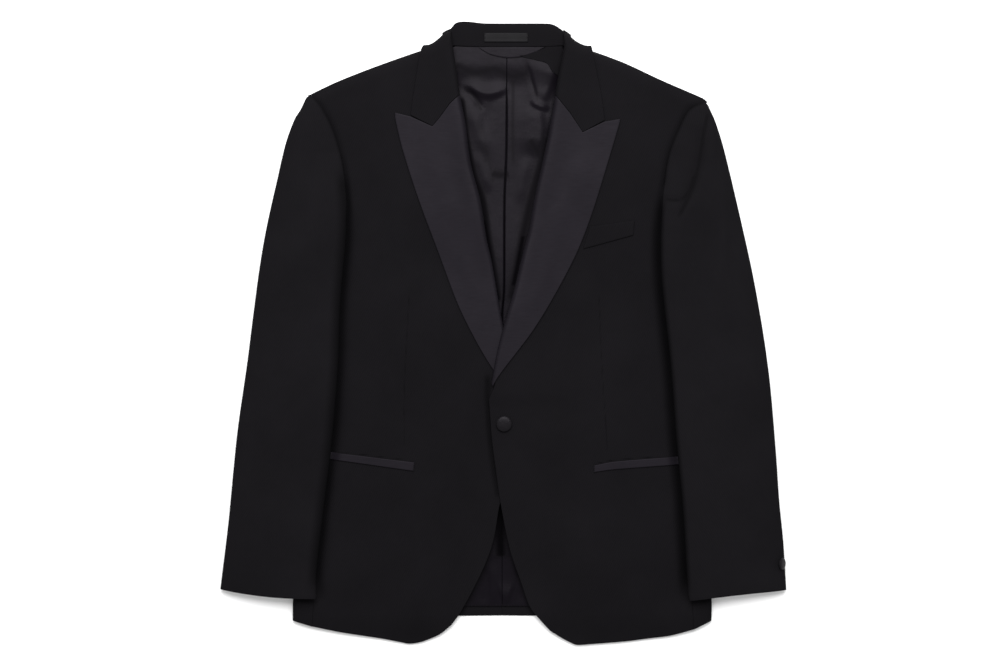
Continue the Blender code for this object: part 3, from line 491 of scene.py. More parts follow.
# Soft creases laid over the body: points, height, and the width to the left and right of the line
BODY_CREASES = [
    ([(-86, -232), (-104, -300), (-119, -368)], 0.9, 18, 12),
    ([(-58, -262), (-74, -318), (-92, -372)], 0.7, 14, 10),
    ([(92, -250), (108, -318), (112, -385)], 0.8, 12, 18),
    ([(168, -232), (178, -300), (180, -378)], 0.5, 16, 16),
    ([(26, -121), (58, -126), (92, -122)], 0.5, 9, 12),
    ([(-26, -118), (-62, -124), (-96, -116)], 0.5, 12, 9),
    ([(-120, 58), (-126, -66), (-127, -146)], -0.7, 7, 7),
    ([(122, 56), (126, -46), (134, -156)], -0.7, 7, 7),
    ([(-176, 236), (-160, 160), (-150, 60)], 0.8, 20, 26),
    ([(176, 236), (164, 160), (160, 70)], 0.7, 24, 18),
    ([(-150, 320), (-170, 262), (-182, 206)], 0.8, 14, 12),
    ([(160, 312), (174, 262), (184, 206)], 0.8, 12, 14),
]
UNDER_CREASES = [
    ([(-21, -48), (-19.5, -84), (-18, -103), (-15.5, -137), (-10.5, -175), (-6, -205)], -2.4, 4, 6),
]
# Waves of the ripple: length, heading in degrees, phase and height
RIPPLES = [
    (173.0, 12.0, 0.4, 0.28),
    (121.0, 74.0, 1.9, 0.20),
    (88.0, 128.0, 3.1, 0.14),
    (61.0, 41.0, 5.0, 0.09),
]

# Creases of the sleeves, by side, laid over them in the same way
SLEEVE_CREASES = {
    -1: [
        ([(-252, 250), (-262, 190), (-270, 110), (-284, 20)], 1.0, 14, 10),
        ([(-226, 214), (-236, 150), (-246, 80)], -1.1, 8, 10),
        ([(-300, 40), (-306, -60), (-312, -150)], 0.8, 14, 12),
        ([(-236, -40), (-258, -86), (-290, -110)], -1.0, 10, 8),
        ([(-242, -72), (-268, -120), (-306, -150)], 0.7, 10, 12),
        ([(-262, -190), (-270, -250), (-276, -310)], 0.6, 14, 12),
        ([(-318, -180), (-330, -250), (-336, -316)], -0.6, 10, 12),
    ],
    1: [
        ([(263, 292), (256, 256), (252, 222), (246, 196), (235, 171), (214, 128)], -3.8, 5, 8),
        ([(198, 172), (213, 168), (229, 169)], -2.4, 4, 5),
        ([(268, 276), (270, 240), (266, 210)], 2.2, 4, 5),
        ([(281, 236), (283, 150), (283, 50)], 1.8, 4, 5),
        ([(256, 168), (252, 110), (254, 50)], 0.9, 12, 10),
        ([(230, 150), (236, 84), (244, 10)], -1.0, 9, 10),
        ([(238, -46), (262, -84), (296, -104)], -1.0, 8, 10),
        ([(246, -76), (274, -118), (310, -146)], 0.7, 12, 10),
        ([(270, -190), (282, -250), (286, -316)], 0.6, 12, 14),
        ([(320, -190), (334, -250), (338, -312)], -0.6, 12, 10),
    ],
}

# Folds of the lining in the neck opening and in the split above the hem
LINING_CREASES = [
    ([(-56, 324), (-36, 312), (-19.6, 307), (-4, 311), (12, 320)], 3.0, 11, 5),
    ([(-48, 318), (-37, 303), (-24, 284)], -1.8, 4, 5),
    ([(-50, 300), (-32, 262), (-20, 218)], 1.3, 9, 9),
    ([(-12, 306), (-20, 280), (-26, 246)], -0.8, 7, 9),
    ([(42, 286), (58, 322), (66, 356)], 3.2, 19, 9),
    ([(27, 354), (35, 327), (44, 296)], -1.0, 2.5, 3),
    ([(32, 299), (46, 291), (61, 287)], 1.8, 5, 2.5),
    ([(40, 222), (46, 262), (38, 304)], 2.6, 24, 9),
    ([(-36, 238), (-26, 210), (-16, 178)], 1.0, 6, 8),
    ([(32, 232), (25, 200), (18, 162)], 0.9, 7, 6),
    ([(-5, -339), (3, -337), (11, -339)], 2.2, 14, 14),
    ([(-26, -294), (-24, -322), (-26, -352)], -1.3, 6, 7),
    ([(-14, -290), (-12, -322), (-12, -352)], 0.9, 7, 7),
    ([(19, -294), (22, -322), (24, -352)], -1.0, 5, 6),
]
LAPEL_CREASES = [
    ([(-96, 244), (-78, 190), (-58, 130)], 0.7, 12, 16),
    ([(-60, 120), (-46, 76), (-32, 34)], 0.5, 10, 10),
    ([(102, 236), (86, 180), (66, 120)], 0.7, 16, 12),
    ([(62, 110), (48, 66), (30, 22)], 0.5, 10, 10),
    ([(52, 186), (60, 176), (66, 160)], -0.6, 6, 8),
]

# Seam lines drawn in the cloth, and painted shade in ditches, creases and beside raised edges: points,
# strength, half width
FRONT_SEAMS_AND_SHADE = {
    -1: [([(-120, 56), (-126.5, -66), (-127.1, -146)], 0.34, 1.8),
         ([(-215.5, -150.8), (-113, -163.2)], 0.6, 1.5),
         # Painted shadow on this front beside the edge of the wearer's left front, which lies over it
         ([(-20, -50), (-20, -84), (-19, -103), (-16.5, -137), (-11.5, -175), (-6, -214)], 0.55, 6.5)],
    1: [([(122, 55), (126.3, -46), (134, -156)], 0.34, 1.8),
        ([(216, -156.2), (141.5, -162.2), (115.5, -167.2)], 0.6, 1.5)],
}
# The centre seam line, then painted shade across the lining's top, in its creases, beside both lapel rolls
# and in the split above the hem, and one darker patch in the middle
LINING_SEAM_AND_SHADE = [
    ([(4.5, 354), (4, 235), (1.5, 171), (1, 55.5), (-1.5, 20), (-1.5, -60)], 1.0, 1.0),
    ([(-64, 346), (-38, 335), (-10, 338), (12, 330), (36, 336)], 0.55, 14.0),
    ([(-50, 318), (-37, 303), (-27, 284)], 0.5, 6.0),
    ([(30, 350), (36, 327), (45, 296)], 0.4, 3.0),
    ([(34, 250), (44, 232), (54, 214)], 0.6, 12.0),
    ([(-15, 205), (-2, 203), (8, 205)], 0.6, 13.0),
    ([(-56, 312), (-53, 290), (-48, 250), (-38, 204), (-27, 172), (-19, 119), (-12, 80), (-4, 30)],
     0.85, 11.0),
    ([(-25, 150), (-18, 112), (-12, 70), (-5, 38)], 1.0, 7.5),
    ([(59, 262), (47, 214), (36, 174), (28, 138), (19, 96), (7, 34)], 0.7, 13.0),
    ([(26, 128), (19, 92), (12, 58)], 1.0, 7.5),
    ([(-26, 246), (-17, 216), (-13, 190)], 0.4, 6.0),
    ([(13, 330), (12, 262), (13, 214)], 0.45, 8.0),
    ([(-34, 276), (-27, 240), (-20, 214)], 0.35, 9.0),
    ([(-5, -190), (-4, -225), (-4, -258), (-3, -290)], 1.0, 17.0),
    ([(-12, -250), (-24, -292), (-40, -326), (-56, -352)], 0.6, 13.0),
    ([(6, -250), (17, -292), (28, -326), (38, -352)], 0.6, 10.0),
]
# Painted shade in the creases of the wearer's left sleeve cap: points, strength, half width
SLEEVE_CREASE_SHADE = {
    -1: [],
    1: [([(262, 284), (256, 256), (251, 222), (245, 196), (235, 171), (222, 146)], 0.4, 4.5),
        ([(206, 171), (216, 169), (229, 172), (238, 184), (244, 202)], 0.35, 3.5)],
}
# Painted shade along an armhole seam's ditch and along a sleeve's inner fold, on sleeve and body: strength,
# half width
ARMHOLE_SHADE = (0.4, 3.5)
SLEEVE_SHADE = {-1: (0.68, 15.0), 1: (0.6, 6.0)}
BODY_SHADE = {-1: (0.6, 10.0), 1: (0.68, 15.0)}
SHADE_START_Y = 165.0
SHADE_OVERLAP = 60.0
FAR_MARK = 0.001

# The body sinks where a sleeve lies on it and where it is sewn in: depth and width
SLEEVE_DIP = (6.2, 8.0)
SLEEVE_DIP_Y = (-372.0, -322.0, 120.0, 176.0)
ARMHOLE_DIP = (3.0, 4.5)
LEAST_LEVEL = 6.4

# What black silk gives back is a shade violet
SILK_TINT = (0.97, 0.91, 1.0, 1.0)

# Cut edges closed up for the eye: side seams, and what the armhole seam hides under the sleeve
SIDE_CLOSE = 0.12
ARMHOLE_TUCK = 3.4
ARMHOLE_TUCK_Y = (90.0, 108.0)

# What is turned back: turns of its roll and of the part tucked under, and their shares of a short row
ROLL_SHARE = 0.4
TUCK_SHARE = 0.6
ROLL_TURNS = np.radians(np.arange(0.0, 91.0, 9.0))
TUCK_TURNS = np.radians(np.arange(102.0, 181.0, 13.0))
TUCK_RUN = (1.5, 3.5, 6.0)
TUCK_DEPTH = 4.3
TUCK_LEAST = 0.1
TUCK_Y = (20.0, 70.0)

# End of the wearer's left front facing, in view beside the neck
FACING_END_UPPER = [(21, 356), (30.5, 357.2), (42, 361.5), (53, 366.7), (64, 367.5), (76, 368)]
FACING_END_LOWER = [(21, 355), (30, 353), (43, 350), (56, 346), (63, 335.5), (76, 326)]

# Stage: a lens well above, so that straight lines stay straight; one picture pixel is 1.28 mm
LENS = 85.0
SENSOR = 36.0
CAMERA = (0.9, -3.3, 3056.0)
WORLD_STRENGTH = 0.75
SOFT_BOX_POWER = 118.0
SOFT_BOX_SIZE = 2.0
SOFT_BOX_PLACE = (0.0, 1.3, 2.2)
FLOOR_Z = -0.3


def sizes():
    """Sizes chosen in the panel."""
    return bpy.context.scene.jacket_sizes


def thick(name):
    """A size chosen in the panel, in the tables' millimetres."""
    return getattr(sizes(), name) * PER_METRE


def normals_of(grid):
    """Unit normals of a grid of points."""
    normal = np.cross(np.gradient(grid, axis=1), np.gradient(grid, axis=0))
    return normal / np.maximum(np.linalg.norm(normal, axis=2, keepdims=True), 1e-9)


def creases(x, y, rows, ends=CREASE_ENDS):
    """Summed height of soft creases, faded out towards both ends."""
    total = np.zeros(np.shape(x))
    for points, height, left, right in rows:
        signed, share = nearest(dense(points), x, y)
        width = np.where(signed > 0, left, right)
        fade = plateau(share, ends)
        total = total + height * np.exp(-(signed / width) ** 2) * fade
    return total * sizes().drape


def ripple(x, y):
    """Slight unevenness of cloth that has been worn and pressed."""
    total = np.zeros(np.shape(x))
    for wave, heading, phase, height in RIPPLES:
        turn = np.radians(heading)
        reach = np.asarray(x) * np.cos(turn) + np.asarray(y) * np.sin(turn)
        total = total + height * np.sin(2 * np.pi * reach / wave + phase)
    return total * sizes().drape


def tube_grain(grid):
    """Weave directions of a piece that wraps round: distance across and distance along."""
    across = np.linalg.norm(np.diff(grid, axis=1), axis=2)
    across = np.concatenate([np.zeros((len(grid), 1)), np.cumsum(across, axis=1)], axis=1)
    middle = grid.shape[1] // 2
    across -= across[:, middle:middle + 1]
    rise = np.linalg.norm(np.diff(grid[:, middle], axis=0), axis=1)
    rise = np.concatenate([[0.0], np.cumsum(rise)])
    return np.stack([across, np.repeat(rise[:, None], grid.shape[1], axis=1)], axis=2)


def mesh_piece(name, points, faces, materials, grain=None, seam=None, slots=None):
    """A named mesh object. Points are millimetres, the object stays at the origin."""
    mesh = bpy.data.meshes.new(name)
    mesh.from_pydata((np.asarray(points) * MM).tolist(), [], [tuple(face) for face in faces])
    mesh.update()
    mesh.polygons.foreach_set("use_smooth", [True] * len(mesh.polygons))
    for material in materials:
        mesh.materials.append(material)
    if slots is not None:
        mesh.polygons.foreach_set("material_index", np.asarray(slots, dtype=np.int32))
    if grain is not None:
        corner = np.zeros(len(mesh.loops), dtype=np.int32)
        mesh.loops.foreach_get("vertex_index", corner)
        layer = mesh.uv_layers.new(name="grain")
        layer.data.foreach_set("uv", (np.asarray(grain)[corner] * MM).ravel().astype(np.float32))
    # The seam attribute holds seam lines and painted shade: distance, strength and half width
    if seam is not None:
        attribute = mesh.attributes.new("seam", "FLOAT_VECTOR", "POINT")
        attribute.data.foreach_set("vector", np.asarray(seam).ravel().astype(np.float32))
    piece = bpy.data.objects.new(name, mesh)
    bpy.context.scene.collection.objects.link(piece)
    return piece


def shell(name, grid, wall, materials, up_column=None, up=1.0, inner=None, grain=None, seam=None):
    """Closed cloth: a grid, the same grid moved in by the wall, and the turned edges.

    up_column names a column whose outside faces up (up = 1) or down (up = -1). With a second
    material the inside takes it. A piece that works out its own inside face gives it as inner.
    """
    rows, columns = grid.shape[:2]
    grain = grid[..., :2] if grain is None else grain
    middle = columns // 2 if up_column is None else up_column
    normal = normals_of(grid)
    if normal[:, middle, 2].mean() * up < 0:
        grid, grain = grid[:, ::-1], grain[:, ::-1]
        normal = -normal[:, ::-1]
        inner = None if inner is None else inner[:, ::-1]
        seam = None if seam is None else seam[:, ::-1]
    if inner is None:
        inner = grid - normal * wall
    index = np.arange(rows * columns).reshape(rows, columns)
    outer_faces = np.stack([index[:-1, :-1], index[:-1, 1:], index[1:, 1:], index[1:, :-1]], axis=-1)
    outer_faces = outer_faces.reshape(-1, 4)
    inner_faces = outer_faces[:, ::-1] + rows * columns
    rim = np.concatenate([index[0], index[1:, -1], index[-1, -2::-1], index[-2:0:-1, 0]])
    ahead = np.roll(rim, -1)
    rim_faces = np.stack([ahead, rim, rim + rows * columns, ahead + rows * columns], axis=1)
    faces = np.vstack([outer_faces, inner_faces, rim_faces])
    slots = np.zeros(len(faces), dtype=np.int32)
    if len(materials) > 1:
        slots[len(outer_faces):2 * len(outer_faces)] = 1
    points = np.vstack([grid.reshape(-1, 3), inner.reshape(-1, 3)])
    weave = np.vstack([grain.reshape(-1, 2)] * 2)
    marks = None if seam is None else np.vstack([seam.reshape(-1, 3), np.zeros((rows * columns, 3))])
    piece = mesh_piece(name, points, faces.tolist(), materials, weave, marks, slots)
    turned = piece.modifiers.new("turned_edge", "BEVEL")
    turned.width = sizes().edge
    turned.segments = EDGE_SEGMENTS
    turned.limit_method = "ANGLE"
    turned.angle_limit = EDGE_ANGLE
    return piece


def put(name, node, slot, rests_on, grid, wall, finishes, **how):
    """One finished sheet: a shell of the grid, tied to the frame for its CAD node. What it lies on is not
    used.
    """
    piece = shell(name, grid, wall, [finish_named(finish) for finish in finishes], **how)
    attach(piece, "root")
    if node:
        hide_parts(node)


def add(tree, kind, links=None, values=None, **settings):
    """Add a shader or geometry node with its settings, socket values and links.

    A link comes from a socket, or from a node's first output.
    """
    item = tree.nodes.new(kind)
    for name, value in settings.items():
        setattr(item, name, value)
    for socket, value in (values or {}).items():
        item.inputs[socket].default_value = value
    for socket, source in (links or {}).items():
        source = source.outputs[0] if isinstance(source, bpy.types.Node) else source
        tree.links.new(source, item.inputs[socket])
    return item


def new_material(name):
    """An empty node material: its tree and its Principled surface."""
    material = bpy.data.materials.new(name)
    material.use_nodes = True
    return material, material.node_tree, material.node_tree.nodes["Principled BSDF"]


def limits(*values):
    """The four limits of a range node, by the names of its sockets."""
    return dict(zip(("From Min", "From Max", "To Min", "To Max"), values))


def finish(tree, surface, shade, colour, links, **values):
    """Colour the surface by a shade of the colour, link the rest and set its constant values."""
    scaled = add(tree, "ShaderNodeVectorMath", {"Scale": shade}, {0: tuple(colour)}, operation="SCALE")
    for socket, source in {"Base Color": scaled, **links}.items():
        tree.links.new(source.outputs[0], surface.inputs[socket])
    for name, value in {"Metallic": 0.0, **values}.items():
        surface.inputs[name.replace("_", " ")].default_value = value


def seam_and_shade_line(tree, tone):
    """Mask of the seam lines and painted shade stored on the cloth (distance, strength, half width), and
    the tone they darken.
    """
    seam = add(tree, "ShaderNodeAttribute", attribute_name="seam")
    parts = add(tree, "ShaderNodeSeparateXYZ", {"Vector": seam.outputs["Vector"]})
    away = add(tree, "ShaderNodeMath", {0: parts.outputs["X"]}, operation="ABSOLUTE")
    line = add(tree, "ShaderNodeMapRange", {"Value": away, "From Max": parts.outputs["Z"]},
               {"From Min": 0.0, "To Min": 1.0, "To Max": 0.0}, interpolation_type="SMOOTHSTEP")
    drawn = add(tree, "ShaderNodeMath", {0: line, 1: parts.outputs["Y"]}, operation="MULTIPLY")
    dark = add(tree, "ShaderNodeMapRange", {"Value": drawn}, limits(0.0, 1.0, 1.0, 0.2))
    return drawn, add(tree, "ShaderNodeMath", {0: tone, 1: dark}, operation="MULTIPLY")


def worsted_barathea(name, colour):
    """Worsted wool barathea: combed yarn in a broken rib, pressed.

    To the eye it is a deep matt black with a fine pebble and hardly any gloss. The real rib is
    0.7 mm apart and is drawn 2.6 mm apart, because a finer one doesn't show from the camera.
    """
    material, tree, surface = new_material(name)
    weave = add(tree, "ShaderNodeUVMap", uv_map="grain")
    place = add(tree, "ShaderNodeTexCoord")
    turned = add(tree, "ShaderNodeMapping", {"Vector": weave}, {"Rotation": (0.0, 0.0, np.radians(27.0))})
    rib = add(tree, "ShaderNodeTexWave", {"Vector": turned},
              {"Scale": 121.0, "Distortion": 2.2, "Detail": 2.0, "Detail Scale": 3.0})
    pebble = add(tree, "ShaderNodeTexNoise", {"Vector": weave}, {"Scale": 520.0, "Detail": 2.0},
                 noise_dimensions="2D")
    cloud = add(tree, "ShaderNodeTexNoise", {"Vector": place.outputs["Object"]},
                {"Scale": 11.0, "Detail": 4.0, "Roughness": 0.6})
    fine = add(tree, "ShaderNodeMath", {0: rib.outputs["Fac"], 1: pebble.outputs["Fac"]}, operation="ADD")
    broad = add(tree, "ShaderNodeMapRange", {"Value": cloud.outputs["Fac"]}, limits(0.3, 0.7, 0.88, 1.1))
    small = add(tree, "ShaderNodeMapRange", {"Value": fine}, limits(0.4, 1.6, 0.9, 1.1))
    tone = add(tree, "ShaderNodeMath", {0: broad, 1: small}, operation="MULTIPLY")
    # The stored marks darken the wool and sink its bump: seam lines, and painted shade in ditches and
    # beside edges
    drawn, shade = seam_and_shade_line(tree, tone)
    sunk = add(tree, "ShaderNodeMath", {0: drawn}, {1: -4.0}, operation="MULTIPLY")
    relief = add(tree, "ShaderNodeMath", {0: fine, 1: sunk}, operation="ADD")
    bump = add(tree, "ShaderNodeBump", {"Height": relief}, {"Strength": 0.5, "Distance": 0.00012})
    finish(tree, surface, shade, colour, {"Normal": bump}, Roughness=0.85, Specular_IOR_Level=0.02)
    return material


def silk_satin(name, colour, roughness=0.46, gloss=0.04, cloud_size=0.045, cloud_depth=0.0006):
    """Silk satin: long floats of smooth thread lie side by side, so it is sleek and a little uneven.

    To the eye it is lighter and glossier than the wool, with faint streaks along the weft and
    soft clouds where it isn't quite flat. Real threads lie 0.1 mm apart and are drawn as streaks
    1.5 mm apart.
    """
    material, tree, surface = new_material(name)
    weave = add(tree, "ShaderNodeUVMap", uv_map="grain")
    place = add(tree, "ShaderNodeTexCoord")
    drawn_out = add(tree, "ShaderNodeMapping", {"Vector": weave}, {"Scale": (60.0, 680.0, 1.0)})
    streak = add(tree, "ShaderNodeTexNoise", {"Vector": drawn_out},
                 {"Scale": 1.0, "Detail": 3.0, "Roughness": 0.6}, noise_dimensions="2D")
    cloud = add(tree, "ShaderNodeTexNoise", {"Vector": place.outputs["Object"]},
                {"Scale": 1.0 / cloud_size, "Detail": 3.0, "Roughness": 0.55})
    both = add(tree, "ShaderNodeMath", {0: streak.outputs["Fac"], 1: cloud.outputs["Fac"]}, operation="ADD")
    tone = add(tree, "ShaderNodeMapRange", {"Value": both}, limits(0.6, 1.4, 0.84, 1.16))
    # The stored marks darken the satin and dull its gloss: seam lines, and painted shade in creases and
    # beside edges
    drawn, shade = seam_and_shade_line(tree, tone)
    uneven = add(tree, "ShaderNodeMapRange", {"Value": both},
                 limits(0.6, 1.4, roughness + 0.05, roughness - 0.05))
    rough = add(tree, "ShaderNodeMath", {0: uneven, 1: drawn}, operation="MAXIMUM")
    soft = add(tree, "ShaderNodeBump", {"Height": cloud.outputs["Fac"]},
               {"Strength": 0.6, "Distance": cloud_depth})
    bump = add(tree, "ShaderNodeBump", {"Height": streak.outputs["Fac"], "Normal": soft},
               {"Strength": 0.35, "Distance": 0.00008})
    finish(tree, surface, shade, colour, {"Roughness": rough, "Normal": bump},
           Specular_IOR_Level=gloss, Specular_Tint=SILK_TINT)
    return material


def woven_label(name, colour):
    """Blank woven label: damask ribbon, a little lighter and silkier than what it is sewn to."""
    material, tree, surface = new_material(name)
    weave = add(tree, "ShaderNodeUVMap", uv_map="grain")
    rib = add(tree, "ShaderNodeTexWave", {"Vector": weave}, {"Scale": 200.0, "Distortion": 0.4},
              bands_direction="Y")
    cloud = add(tree, "ShaderNodeTexNoise", {"Vector": weave}, {"Scale": 60.0, "Detail": 3.0},
                noise_dimensions="2D")
    both = add(tree, "ShaderNodeMath", {0: rib.outputs["Fac"], 1: cloud.outputs["Fac"]}, operation="ADD")
    tone = add(tree, "ShaderNodeMapRange", {"Value": both}, limits(0.6, 1.4, 0.55, 1.3))
    bump = add(tree, "ShaderNodeBump", {"Height": rib.outputs["Fac"]},
               {"Strength": 0.4, "Distance": 0.0001})
    finish(tree, surface, tone, colour, {"Normal": bump}, Roughness=0.45, Specular_IOR_Level=0.06)
    return material


def silk_thread(name, colour):
    """Twisted silk thread: a dull gleam, darker where the plies meet."""
    material, tree, surface = new_material(name)
    place = add(tree, "ShaderNodeTexCoord")
    twist = add(tree, "ShaderNodeTexWave", {"Vector": place.outputs["Object"]}, {"Scale": 500.0},
                bands_direction="DIAGONAL")
    tone = add(tree, "ShaderNodeMapRange", {"Value": twist.outputs["Fac"]}, limits(0.0, 1.0, 0.7, 1.2))
    finish(tree, surface, tone, colour, {}, Roughness=0.5, Specular_IOR_Level=0.06)
    return material


def paper_floor(name, colour):
    """Matt paper sweep: plain, pale and hardly textured."""
    material, tree, surface = new_material(name)
    place = add(tree, "ShaderNodeTexCoord")
    fibre = add(tree, "ShaderNodeTexNoise", {"Vector": place.outputs["Object"]},
                {"Scale": 300.0, "Detail": 2.0})
    tone = add(tree, "ShaderNodeMapRange", {"Value": fibre.outputs["Fac"]}, limits(0.0, 1.0, 0.98, 1.0))
    finish(tree, surface, tone, colour, {}, Roughness=0.95, Specular_IOR_Level=0.1)
    return material


# Each finish: what makes it, its colour in the panel, and roughness, gloss, size and depth of its clouds
FINISHES = {
    "worsted_barathea": (worsted_barathea, "wool"),
    "sleeve_barathea": (worsted_barathea, "sleeve"),
    "silk_satin_facing": (silk_satin, "satin"),
    "viscose_satin_lining": (silk_satin, "lining", 0.33, 0.045, 0.02, 0.0005),
    "satin_covered_button": (silk_satin, "button", 0.36, 0.06, 0.004, 0.0004),
    "blank_woven_label": (woven_label, "label"),
    "silk_thread": (silk_thread, "button"),
    "paper_floor": (paper_floor, "floor"),
}


def finish_named(name):
    """The material of that name, made when it is first asked for."""
    made = bpy.data.materials.get(name)
    if made is None:
        make, colour, *settings = FINISHES[name]
        made = make(name, getattr(bpy.context.scene.jacket_colours, colour), *settings)
    return made


def front_base(x, y, side):
    """Height of a front's upper face before folds, dips and the round of the shoulder."""
    level = HEM_HEIGHT + (BODY_HEIGHT - HEM_HEIGHT) * ramp(y, *HEM_RAMP)
    level = level + (SHOULDER_HEIGHT - BODY_HEIGHT) * ramp(y, *SHOULDER_RAMP)
    neck_x = ROLL[side][1][0]
    spread = 2 * NECK_SPREAD ** 2
    level = level + NECK_RISE * np.exp(-((x - neck_x) ** 2 + (y - NECK_Y) ** 2) / spread)
    if side > 0:
        reach = 1.0 - ramp(x, OVERLAP_END_X, OVERLAP_FADE_X)
        level = level + LAYER * reach * (plateau(y, OVERLAP_Y) + plateau(y, LAPEL_UNDER_Y))
    return level


def front_level(x, y, side):
    """The same with its folds, and sunk along the sleeve and the armhole."""
    away = distance_to(dense(SLEEVE_INNER[side]), x, y)
    dip = SLEEVE_DIP[0] * np.exp(-(away / SLEEVE_DIP[1]) ** 2) * plateau(y, SLEEVE_DIP_Y)
    away = distance_to(dense(ARMHOLE[side]), x, y)
    dip = dip + ARMHOLE_DIP[0] * np.exp(-(away / ARMHOLE_DIP[1]) ** 2) * ramp(y, *SLEEVE_DIP_Y[2:])
    if side < 0:
        dip = dip - creases(x, y, UNDER_CREASES, UNDER_ENDS)
    level = front_base(x, y, side) - dip + creases(x, y, BODY_CREASES) + ripple(x, y)
    return np.maximum(level, LEAST_LEVEL) - HEM_DROOP * (1.0 - ramp(y, *HEM_DROOP_Y))


def front_height(x, y, side):
    """Height of a front's upper face, rounded down at the shoulder."""
    rise = rounded(distance_to(dense(SHOULDER[side]), x, y), SHOULDER_RADIUS)
    foot = SHOULDER_FOOT + back_floor(x, y)
    return foot + (front_level(x, y, side) - foot) * rise


def back_floor(x, y):
    """Height of the back's underside: flat, raised only where the collar passes beneath."""
    near = 1.0 - ramp(np.abs(x - NECK_CENTRE_X), *NECK_RAISE_X)
    return LAYER * near * ramp(y, *NECK_RAISE_Y)


def lining_height(x, y):
    """Upper face of the lining, with the soft pleat either side of the centre seam."""
    seam = dense(CENTRE_BACK)[::-1]
    centre = np.interp(y, seam[:, 1], seam[:, 0])
    fold = MIDDLE_LIFT * plateau(x - centre, MIDDLE_X) * plateau(y, MIDDLE_Y)
    base = back_floor(x, y) + CLOTH + LINING_GAP + LINING_CLOTH
    edge = 1.0 - np.exp(-(np.asarray(y) - LINING_HEM[-1][0][1]) / LINING_HEM_FADE)
    lift = LINING_LIFT * plateau(y, LINING_LIFT_Y)
    loose = creases(x, y, LINING_CREASES) * np.clip(edge, 0.0, 1.0)
    sink = CENTRE_DROP[0] * np.exp(-(np.abs(x - centre) / CENTRE_DROP[1]) ** 2) * plateau(y, CENTRE_Y)
    return base + np.maximum(lift + fold + loose - sink, -LINING_SINK)


def seam_and_shade_marks(x, y, rows):
    """Distance to the seam line or painted shade that is darkest here, its strength and its half width."""
    darkest = np.full(np.shape(x), -np.inf)
    marks = np.zeros(np.shape(x) + (3,))
    for points, weight, width in rows:
        signed, share = nearest(dense(points), x, y)
        away = np.abs(signed)
        strength = weight * plateau(share, MARK_ENDS)
        drawn = strength * np.clip(1.0 - away / width, 0.0, 1.0) - FAR_MARK * away / width
        row = np.stack([away * MM, strength, np.full_like(away, width * MM)], axis=-1)
        marks = np.where((drawn > darkest)[..., None], row, marks)
        darkest = np.maximum(drawn, darkest)
    return marks


def sleeve_shade(side, shade):
    """Painted shade along the armhole seam and along the inner fold below it."""
    path = SLEEVE_INNER[side]
    upper = [point for point in path if point[1] > SHADE_START_Y]
    lower = [point for point in path if point[1] < SHADE_START_Y + SHADE_OVERLAP]
    return [(upper, *ARMHOLE_SHADE), (lower, *shade[side])]


def from_edge(plan, lengths, distances):
    """Points of every row at set distances from its last column, nearest first."""
    shares = np.broadcast_to(distances, (len(plan), np.shape(distances)[-1])) / lengths
    return np.array([along(row, share) for row, share in zip(plan[:, ::-1], shares)])


def with_corners(path, fractions):
    """The fractions, with those of the polyline's own corners in place of the nearest ones."""
    chords = np.linalg.norm(np.diff(path, axis=0), axis=1)
    corners = np.cumsum(chords)[:-1] / chords.sum()
    near = CORNER_REACH / len(fractions)
    kept = [f for f in fractions if np.abs(corners - f).min() > near]
    return np.array(sorted(kept + list(corners)))


def turned_back(plan, side):
    """Grid of a piece turned back at the roll: flat part, soft roll, and what tucks under.

    Rows shorter than the roll keep their own narrow roll.
    """
    lengths = np.linalg.norm(np.diff(plan, axis=1), axis=2).sum(axis=1)[:, None]
    radius = np.minimum(ROLL_RADIUS, lengths * ROLL_SHARE)
    top = radius * (1.0 - np.sin(ROLL_TURNS))
    flat_share = steps(plan.shape[1]) * (1.0 - radius / lengths)
    flat = from_edge(plan, lengths, ((1.0 - flat_share) * lengths)[:, :-1])
    rolled = from_edge(plan, lengths, top)
    depth = np.maximum(ramp(plan[:, -1, 1], *TUCK_Y), TUCK_LEAST)[:, None]
    run = np.concatenate([ROLL_RADIUS * (1.0 - np.sin(TUCK_TURNS)), ROLL_RADIUS + np.array(TUCK_RUN)])
    tucked = from_edge(plan, lengths, np.minimum(run * depth, lengths * TUCK_SHARE))
    full = np.concatenate([flat, rolled, tucked], axis=1)
    x, y = full[..., 0], full[..., 1]
    away = distance_to(dense(ROLL[side]), x, y)
    under = front_level(x, y, side)
    swell = (1.0 - np.exp(-away / ROLL_RISE)) * np.exp(-away / ROLL_FADE)
    bulge = ROLL_LIFT * ramp(y, *ROLL_SOFT_Y[side]) * swell
    low = under - ROLL_FOOT
    upper = low + (under + LAYER + bulge - low) * rounded(away, ROLL_RADIUS)
    lower = low - (TUCK_DEPTH - ROLL_FOOT) * rounded(away, ROLL_RADIUS)
    heights = np.where(np.arange(full.shape[1]) < flat.shape[1] + rolled.shape[1], upper, lower)
    return full, heights


def side_edge(side, tuck):
    """Side seam and armhole from the hem up, closed up, with what the sleeve seam hides."""
    path = np.vstack([dense(SIDE_SEAM[side])[::-1], dense(ARMHOLE[side])[::-1][1:]])
    gap = SIDE_CLOSE - (SIDE_CLOSE + tuck) * ramp(path[:, 1], *ARMHOLE_TUCK_Y)
    path[:, 0] -= side * gap
    return path


